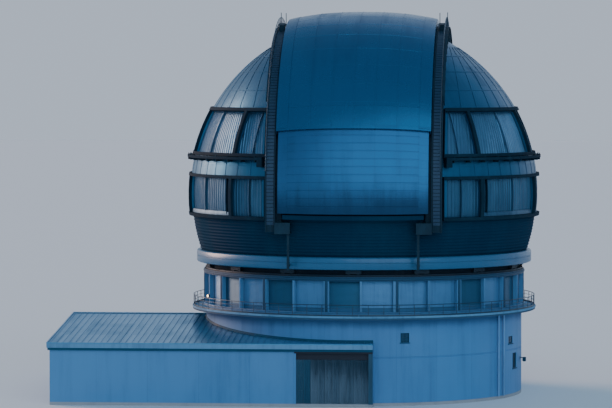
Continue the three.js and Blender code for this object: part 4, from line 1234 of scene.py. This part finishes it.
def narrowed(azimuths, heights):
    """Above the shoulder the columns draw together towards azimuth 90, as the side narrows:
    90 + (a - 90) x (90 - edge at this height) / (90 - edge at the shoulder)."""
    shoulder_edge = azimuth_at(GIRDER_SIDE, ball_radii(BALL_RADIUS, SHOULDER))
    edge = azimuth_at(GIRDER_SIDE, ball_radii(BALL_RADIUS, heights))
    share = np.where(heights > SHOULDER, (90 - edge) / (90 - shoulder_edge), 1.0)
    return 90 + (azimuths - 90) * share[:, None]


def on_ball(azimuths, heights, lift=0.0):
    """Points on the ball, lifted square to it: the ball's radius and height both grow with it."""
    scale = (BALL_RADIUS + lift) / BALL_RADIUS
    return ring_grid(azimuths, ball_radii(BALL_RADIUS, heights) * scale, heights * scale)


def kept_clear(points):
    """The same points, held out of the girder's side by their x."""
    points = points.copy()
    points[..., 0] = np.maximum(points[..., 0], GIRDER_SIDE)
    return points


def ball_strip(azimuths, heights, top, foot=STRIP_SUNK):
    """A strip laid on the ball, between two lifts off it."""
    return plate(on_ball(azimuths, heights, top), on_ball(azimuths, heights, foot))


side_interval = np.repeat(np.arange(len(SIDE_COUNTS)), SIDE_COUNTS)
glazed = np.isin(side_interval, GLAZED_INTERVALS)
shell_heights = steps_between([-2.05, -1.75, 1.8, 4.2, 8.2, SHOULDER], 0.72)
shell_heights = np.concatenate([shell_heights, np.linspace(SHOULDER, 14.6, 14)[1:], [14.9, 15.064]])
shell_radii = ball_radii(BALL_RADIUS, shell_heights)
columns = side_columns(np.maximum(shell_radii, ball_radii(BALL_RADIUS, SHOULDER)))
shell_columns = narrowed(columns, shell_heights)
keep = np.ones((len(shell_heights) - 1, len(side_interval)), bool)
for low, high in WINDOW_ROWS.values():
    keep &= ~(inside(shell_heights, low, high)[:, None] & glazed[None, :])
inner = kept_clear(on_ball(shell_columns, shell_heights, -BALL_THICKNESS))
shell = [plate(on_ball(shell_columns, shell_heights), inner, keep)]
strip_heights = np.linspace(SHOULDER + 0.05, 14.5, 24)
for base in np.arange(42.0, 139.0, 8.0):
    middle = narrowed(np.full((24, 1), base), strip_heights)
    half = np.degrees(STRIP_HALF / ball_radii(BALL_RADIUS, strip_heights))[:, None]
    edges = np.concatenate([middle - half, middle + half], axis=1)
    shell.append(ball_strip(edges, strip_heights, 0.028))
for height in (10.3, 12.1, 13.6):
    rows = np.array([height - STRIP_HALF, height + STRIP_HALF])
    edge = azimuth_at(GIRDER_SIDE + 0.02, ball_radii(BALL_RADIUS, rows[1]))
    shell.append(ball_strip(np.linspace(edge, 180 - edge, 60), rows, 0.024))
belt_heights = np.linspace(2.12, 3.70, 4)
for azimuth in np.arange(36.0, 145.0, 6.0):
    edges = np.array([azimuth - 0.11, azimuth + 0.11])
    shell.append(ball_strip(edges, belt_heights, 0.025))
make_pairs(("ball_shell", shell, side_cladding, "dome_cladding", "dome_shell"))

# WINDOWS. Behind each row of openings, ribbed aluminium panels shut the vents. Dark steel frames
# stand proud round them, and a grated walkway on brackets runs under the upper row.
RIBS_ROUND = 92
RIB_PARTS = np.array([0.0, 0.22, 0.36, 0.64, 0.78])
RIB_LIFTS = [-0.29, -0.29, -0.235, -0.235, -0.29]
PANEL_BACK, FRAME_PROUD = -0.30, 0.3
LONGEST = 0.75
BAR_AZIMUTHS, EXTRA_POSTS = (36.5, 61.0, 90.0, 119.0, 143.5), (47.0, 133.0)
panel_look = dict(
    metal=0.6, lie=("upright", BALL_RADIUS * HALF), panel=(0.9, 30.0), seam=0.006, streaks=0.35,
    streak_size=(3.2, 0.3), grain=40.0, grain_depth=0.0006,
)
PANEL_FINISHES = {
    "lower": weathered_finish(
        "lower_vent_sheet", (0.040, 0.132, 0.232), (0.016, 0.072, 0.143), 0.42, **panel_look
    ),
    "upper": weathered_finish(
        "upper_vent_sheet", (0.066, 0.182, 0.308), (0.027, 0.100, 0.192), 0.38, **panel_look
    ),
}
window_steel = weathered_finish(
    "window_row_steel", (0.006, 0.022, 0.040), (0.015, 0.048, 0.078), 0.72,
    lie=("upright", BALL_RADIUS * HALF), spread=0.4, streaks=0.35, streak_size=(2.5, 2.5),
    grain=45.0, shine=0.03,
)
rib_part = np.append((np.arange(RIBS_ROUND)[:, None] + RIB_PARTS).ravel() / RIBS_ROUND, 1.0)
rib_lift = np.append(np.tile(RIB_LIFTS, RIBS_ROUND), RIB_LIFTS[0])
for row, (low, high) in WINDOW_ROWS.items():
    rows = steps_between([low - 0.25, high + 0.25], LONGEST)
    panel_radii = ball_radii(BALL_RADIUS, rows)[:, None]
    edge = azimuth_at(GIRDER_SIDE + 0.02, panel_radii * 0.98)
    azimuths = edge + rib_part * (180 - 2 * edge)
    scale = (BALL_RADIUS + rib_lift) / BALL_RADIUS
    outer = upright_points(azimuths, panel_radii * scale, rows[:, None] * scale)
    panels = [plate(kept_clear(outer), kept_clear(on_ball(azimuths, rows, PANEL_BACK)))]
    frame_rows = steps_between([low - 0.3, low, high, high + 0.3], LONGEST)
    columns = side_columns(ball_radii(BALL_RADIUS, frame_rows), GIRDER_SIDE + 0.06)
    keep = ~(inside(frame_rows, low, high)[:, None] & glazed[None, :])
    outer = kept_clear(on_ball(columns, frame_rows, FRAME_PROUD))
    bars = [plate(outer, kept_clear(on_ball(columns, frame_rows, 0.001)), keep)]
    bar_rows = steps_between([low + 0.001, high - 0.001], LONGEST)
    if row == "lower":
        sill = [(16.94, -1.74), (17.17, -1.74), (17.17, -1.46), (17.10, -1.36), (16.94, -1.36)]
        for start, end in ((44.8, 77.2), (78.8, 101.2), (102.8, 135.2)):
            panels.append(turned_profile(sill, np.linspace(start, end, 25)))
        for azimuth in EXTRA_POSTS:
            edges = np.array([azimuth - 0.12, azimuth + 0.12])
            bars.append(ball_strip(edges, bar_rows, 0.0, -0.25))
    else:
        for azimuth in np.arange(33.0, 148.0, 6.0):
            bars.append(box_at(azimuth, 17.22, 0.62, 0.09, 3.44, 3.72))
            bars.append(box_at(azimuth, 17.48, 0.06, 0.16, 3.60, 4.06))
        edge = azimuth_at(GIRDER_SIDE + 0.25, BALL_RADIUS) + 0.3
        grate = [
            (16.70, 3.72), (17.50, 3.72), (17.53, 3.66), (17.57, 3.66), (17.57, 3.92),
            (17.53, 3.92), (17.50, 3.86), (16.70, 3.86),
        ]
        bars.append(turned_profile(grate, np.linspace(edge, 180 - edge, 70)))
        for azimuth in (edge + 0.7, 179.3 - edge):
            bars.append(box_at(azimuth, 17.15, 0.86, 0.62, 3.0, 3.95))
    for azimuth in BAR_AZIMUTHS:
        edges = np.array([azimuth - 0.13, azimuth + 0.13])
        panels.append(ball_strip(edges, bar_rows, -0.05, -0.25))
    make_pairs(
        (f"vent_panels_{row}", panels, PANEL_FINISHES[row], "window_panel", f"window_panels_{row}"),
        (f"window_bars_{row}", bars, window_steel, "dark_steel", f"window_frame_{row}"),
    )

# BACK SHELL. Between the girders behind the slit, the ball is clad in plain sheets with cover
# strips, up to a curb under the upper shutter. The open shutters park above it.
SLIT_REACH, STRIP_REACH = 7.3994, 7.3
BACK_TOP = 108.6
back_cladding = weathered_finish(
    "satin_back_cladding", lie=("level", BALL_RADIUS * HALF), panel=(0.95, 0.903),
    streak_size=(0.3, 2.6), **cladding_look
)


def slit_grid(xs, parts, lift):
    """Points of the ball behind the slit: at an offset x the distance is sqrt(R^2 - x^2), and the
    elevation runs from the curb to where the ball comes down to the skirt."""
    distance = ball_radii(BALL_RADIUS + lift, xs)
    lowest = 180 + np.degrees(np.arcsin(-(SKIRT_TOP + 0.001) / distance))
    return level_points(BACK_TOP + parts[:, None] * (lowest - BACK_TOP), distance, xs)


xs, parts = np.linspace(-SLIT_REACH, SLIT_REACH, 37), np.linspace(0.0, 1.0, 41)
back = [plate(slit_grid(xs, parts, 0.0), slit_grid(xs, parts, -BALL_THICKNESS))]
for x in np.arange(-5.4, 5.5, 1.8):
    strip, rows = np.array([x - STRIP_HALF, x + STRIP_HALF]), parts[1:-1]
    back.append(plate(slit_grid(strip, rows, 0.025), slit_grid(strip, rows, STRIP_SUNK)))
xs = np.linspace(-STRIP_REACH, STRIP_REACH, 37)
for part in np.arange(0.12, 0.95, 0.12):
    rows = np.array([part - 0.0016, part + 0.0016])
    back.append(plate(slit_grid(xs, rows, 0.022), slit_grid(xs, rows, STRIP_SUNK)))
back.append(curb(BACK_TOP + 0.05, BACK_TOP + 1.15))
make_piece(
    "ball_shell_back", back, [back_cladding], "dome", ["dome_shell_back"]
)

# SHUTTERS. Two crowned sheets of aluminium on ribs close the slit. The lower one slides up under
# the upper one. Each is laid in level courses between two border strips, and its flanges hang on
# wheels that run on the girders' rails.
UPPER = dict(half=7.35, edge=17.3, start=21.9, end=110.0, wheels=(30.0, 105.0))
SHUTTER_SKIN, FLANGE_LOW = 0.15, 16.25
UPPER_COURSE, LOWER_COURSE = 7.7, 2.45
ACROSS = 45
RAIL_WHEEL_RADIUS, RAIL_WHEEL_SIDES = 0.12, 18
BORDER_INNER = 6.25
shutter_look = dict(
    lie=("level", 17.8 * HALF), seam=0.005, streaks=0.3, streak_size=(0.16, 1.3), grain=20.0,
    grain_depth=0.0006,
)
upper_finish = weathered_finish(
    "upper_shutter_sheet", (0.004, 0.106, 0.236), (0.003, 0.072, 0.178), 0.30, 0.6,
    panel=(1.2, 1.033), spread=0.18, **shutter_look
)
# Its lower end is darkened: painted reflection of dark ground in the curved sheet.
lower_finish = weathered_finish(
    "lower_shutter_sheet", (0.019, 0.118, 0.270), (0.004, 0.045, 0.112), 0.34, 0.6,
    panel=(0.385, 1.033), spread=0.08, painted_shade_end=("along", -0.75, 1.1, 0.8), **shutter_look
)


def shutter_shell(shutter, course, groove):
    """A channel with a crowned web, carried about the level axis.

    At every elevation the section is: a flange up from its foot, the crown, the other flange,
    and back inside. Where two courses meet, the outside of the web sinks by the groove.
    """
    half, edge = shutter["half"], shutter["edge"]
    joints = np.arange(shutter["start"] + course, shutter["end"] - 0.4, course)
    grooves = (joints[:, None] + np.array([-0.10, -0.05, 0.05, 0.10])).ravel()
    elevations = steps_between(sorted([shutter["start"], shutter["end"], *grooves]), 1.5)
    sunk = np.where(np.abs(elevations[:, None] - joints).min(axis=1) < 0.06, groove, 0.0)
    outer_x = np.linspace(-half, half, ACROSS)
    inner_x = np.linspace(half - SHUTTER_SKIN, -half + SHUTTER_SKIN, ACROSS)
    profile = [(FLANGE_LOW, -half)]
    profile += list(zip(crown(edge, half, outer_x), outer_x))
    profile += [(FLANGE_LOW, half), (FLANGE_LOW, half - SHUTTER_SKIN)]
    profile += list(zip(crown(edge - SHUTTER_SKIN, half, inner_x), inner_x))
    profile += [(FLANGE_LOW, -half + SHUTTER_SKIN)]
    faces = turned_profile(profile, elevations, level_points)[1]
    distance, x = np.array(profile).T
    place = np.arange(len(profile))
    web = (place > 1) & (place < ACROSS)
    return level_points(elevations[:, None], distance - sunk[:, None] * web, x), faces, 0


def crown_strip(shutter, x0, x1, e0, e1, lift):
    """A sheet laid on the crown between two offsets and two elevations, lifted off it."""
    xs = np.linspace(x0, x1, max(int(abs(x1 - x0) / 0.35), 1) + 1)
    elevations = steps_between([e0, e1], 1.5)[:, None]
    web = crown(shutter["edge"], shutter["half"], xs)
    return plate(level_points(elevations, web + lift, xs), level_points(elevations, web - 0.02, xs))


def rail_wheels(shutter):
    """Wheels on the rails, and the bracket that holds each pair to its flange."""
    made = []
    for elevation in shutter["wheels"]:
        for middle in (0.08 - shutter["half"], shutter["half"] - 0.08):
            sides = (middle - 0.065, middle + 0.065)
            made.append(arch_box(elevation, 16.24, 16.52, *sides, 1.0, 1))
            xs = np.linspace(middle - 0.07, middle + 0.07, 3)
            for at in (elevation - 1.0, elevation + 1.0):
                axle = level_points(at, RAIL_TOP + 0.005 + RAIL_WHEEL_RADIUS, xs)
                made.append(tube(axle, RAIL_WHEEL_RADIUS, RAIL_WHEEL_SIDES, 1))
    return made


def end_plate(shutter):
    """The plate across a shutter's lower end: from clear of the ball up to the web, by offset x."""
    half, edge = shutter["half"], shutter["edge"]
    xs = np.linspace(-half + 0.08, half - 0.08, ACROSS)
    high = crown(edge - 0.08, half, xs)
    low = np.maximum(ball_radii(BALL_RADIUS + 0.1, xs), FLANGE_LOW)
    share = np.linspace(0.0, 1.0, 3)[:, None]
    distance = low * (1 - share) + high * share
    start = shutter["start"] + 0.02
    return plate(level_points(start, distance, xs), level_points(start + 0.55, distance, xs))


upper = [shutter_shell(UPPER, UPPER_COURSE, 0.02)]
for x0, x1, e0, e1, lift in (
    (-7.33, -BORDER_INNER, 22.6, 109.3, 0.03),
    (BORDER_INNER, 7.33, 22.6, 109.3, 0.03),
    (-7.34, 7.34, 21.92, 22.5, 0.05),
    (-7.34, 7.34, 109.4, 109.98, 0.05),
):
    upper.append(crown_strip(UPPER, x0, x1, e0, e1, lift))
for x in (-4.13, -2.07, 0.0, 2.07, 4.13):
    upper.append(crown_strip(UPPER, x - 0.03, x + 0.03, 22.5, 109.4, 0.02))
lower = [shutter_shell(LOWER, LOWER_COURSE, 0.015), end_plate(LOWER)]
for x0, x1 in ((-7.12, -BORDER_INNER), (BORDER_INNER, 7.12)):
    lower.append(crown_strip(LOWER, x0, x1, -3.9, 24.8, 0.014))
make_piece(
    "shutter_upper", upper + rail_wheels(UPPER), [upper_finish, bogie_paint], "upper_shutter",
    ["upper_shutter"],
)
make_piece(
    "shutter_lower", lower + rail_wheels(LOWER), [lower_finish, bogie_paint], "lower_shutter",
    ["lower_shutter"],
)

# STUDIO. A pale floor, three wide soft lights and a gentle sky, seen from the photograph's
# direction with a long lens. The middle of the model is what the lights and the camera look at.
FLOOR_REACH = 600
LIGHT_TARGET, CAMERA_TARGET = (-2.0, 0.0, 9.0), (-2.9, 0.0, 9.3)
CAMERA_AZIMUTH, CAMERA_DISTANCE, CAMERA_HEIGHT = 3.6, 160.0, 15.8
SENSOR_WIDTH, FRAME_WIDTH = 36, 30.5
floor_mesh = bpy.data.meshes.new("studio_floor")
floor_corners = np.array([(-1, -1, 0), (1, -1, 0), (1, 1, 0), (-1, 1, 0)]) * FLOOR_REACH
floor_mesh.from_pydata(floor_corners.tolist(), [], [(0, 1, 2, 3)])
floor = new_object("studio_floor", floor_mesh)
floor_paint = bpy.data.materials.new("studio_floor_paint")
floor_paint.use_nodes = True
floor_shader = floor_paint.node_tree.nodes["Principled BSDF"]
floor_shader.inputs["Base Color"].default_value = (0.703, 0.808, 0.850, 1.0)
floor_shader.inputs["Roughness"].default_value = 0.9
floor_mesh.materials.append(floor_paint)


def looking(item, place, target):
    """Stands an item at a place and turns its -Z axis towards the target, upright."""
    item.location = place
    item.rotation_euler = (Vector(target) - Vector(place)).to_track_quat("-Z", "Y").to_euler()


def soft_sun(name, place, strength, spread, colour):
    """A distant light as wide as a cloudy patch of sky, shining from a place to the middle."""
    data = bpy.data.lights.new(name, "SUN")
    data.energy, data.angle, data.color = strength, np.radians(spread), colour
    looking(new_object(name, data), place, LIGHT_TARGET)


soft_sun("light_left", (-84.0, 46.0, 34.0), 3.3, 32.0, (1.0, 0.62, 0.46))
soft_sun("light_front", (30.0, -90.0, 50.0), 1.05, 60.0, (0.80, 0.90, 1.0))
soft_sun("light_back", (30.0, 80.0, 50.0), 0.2, 60.0, (0.80, 0.90, 1.0))
world = bpy.data.worlds.new("studio_sky")
bpy.context.scene.world = world
world.use_nodes = True
sky_tree = world.node_tree
sky_parts = sky_tree.nodes.new("ShaderNodeSeparateXYZ")
sky_place = sky_tree.nodes.new("ShaderNodeTexCoord")
sky_tree.links.new(sky_place.outputs["Generated"], sky_parts.inputs[0])
sky_height = ranged(sky_tree, sky_parts.outputs[2], 0.0, 0.75)
sky_colour = mixed(sky_tree, sky_height, (0.495, 0.575, 0.695), (0.20, 0.31, 0.46))
sky_tree.links.new(sky_colour, sky_tree.nodes["Background"].inputs["Color"])

camera = new_object("camera", bpy.data.cameras.new("camera"))
looking(camera, upright_points(CAMERA_AZIMUTH, CAMERA_DISTANCE, CAMERA_HEIGHT), CAMERA_TARGET)
camera.data.lens = SENSOR_WIDTH * CAMERA_DISTANCE / FRAME_WIDTH
camera.data.clip_end = 3000.0
bpy.context.scene.camera = camera
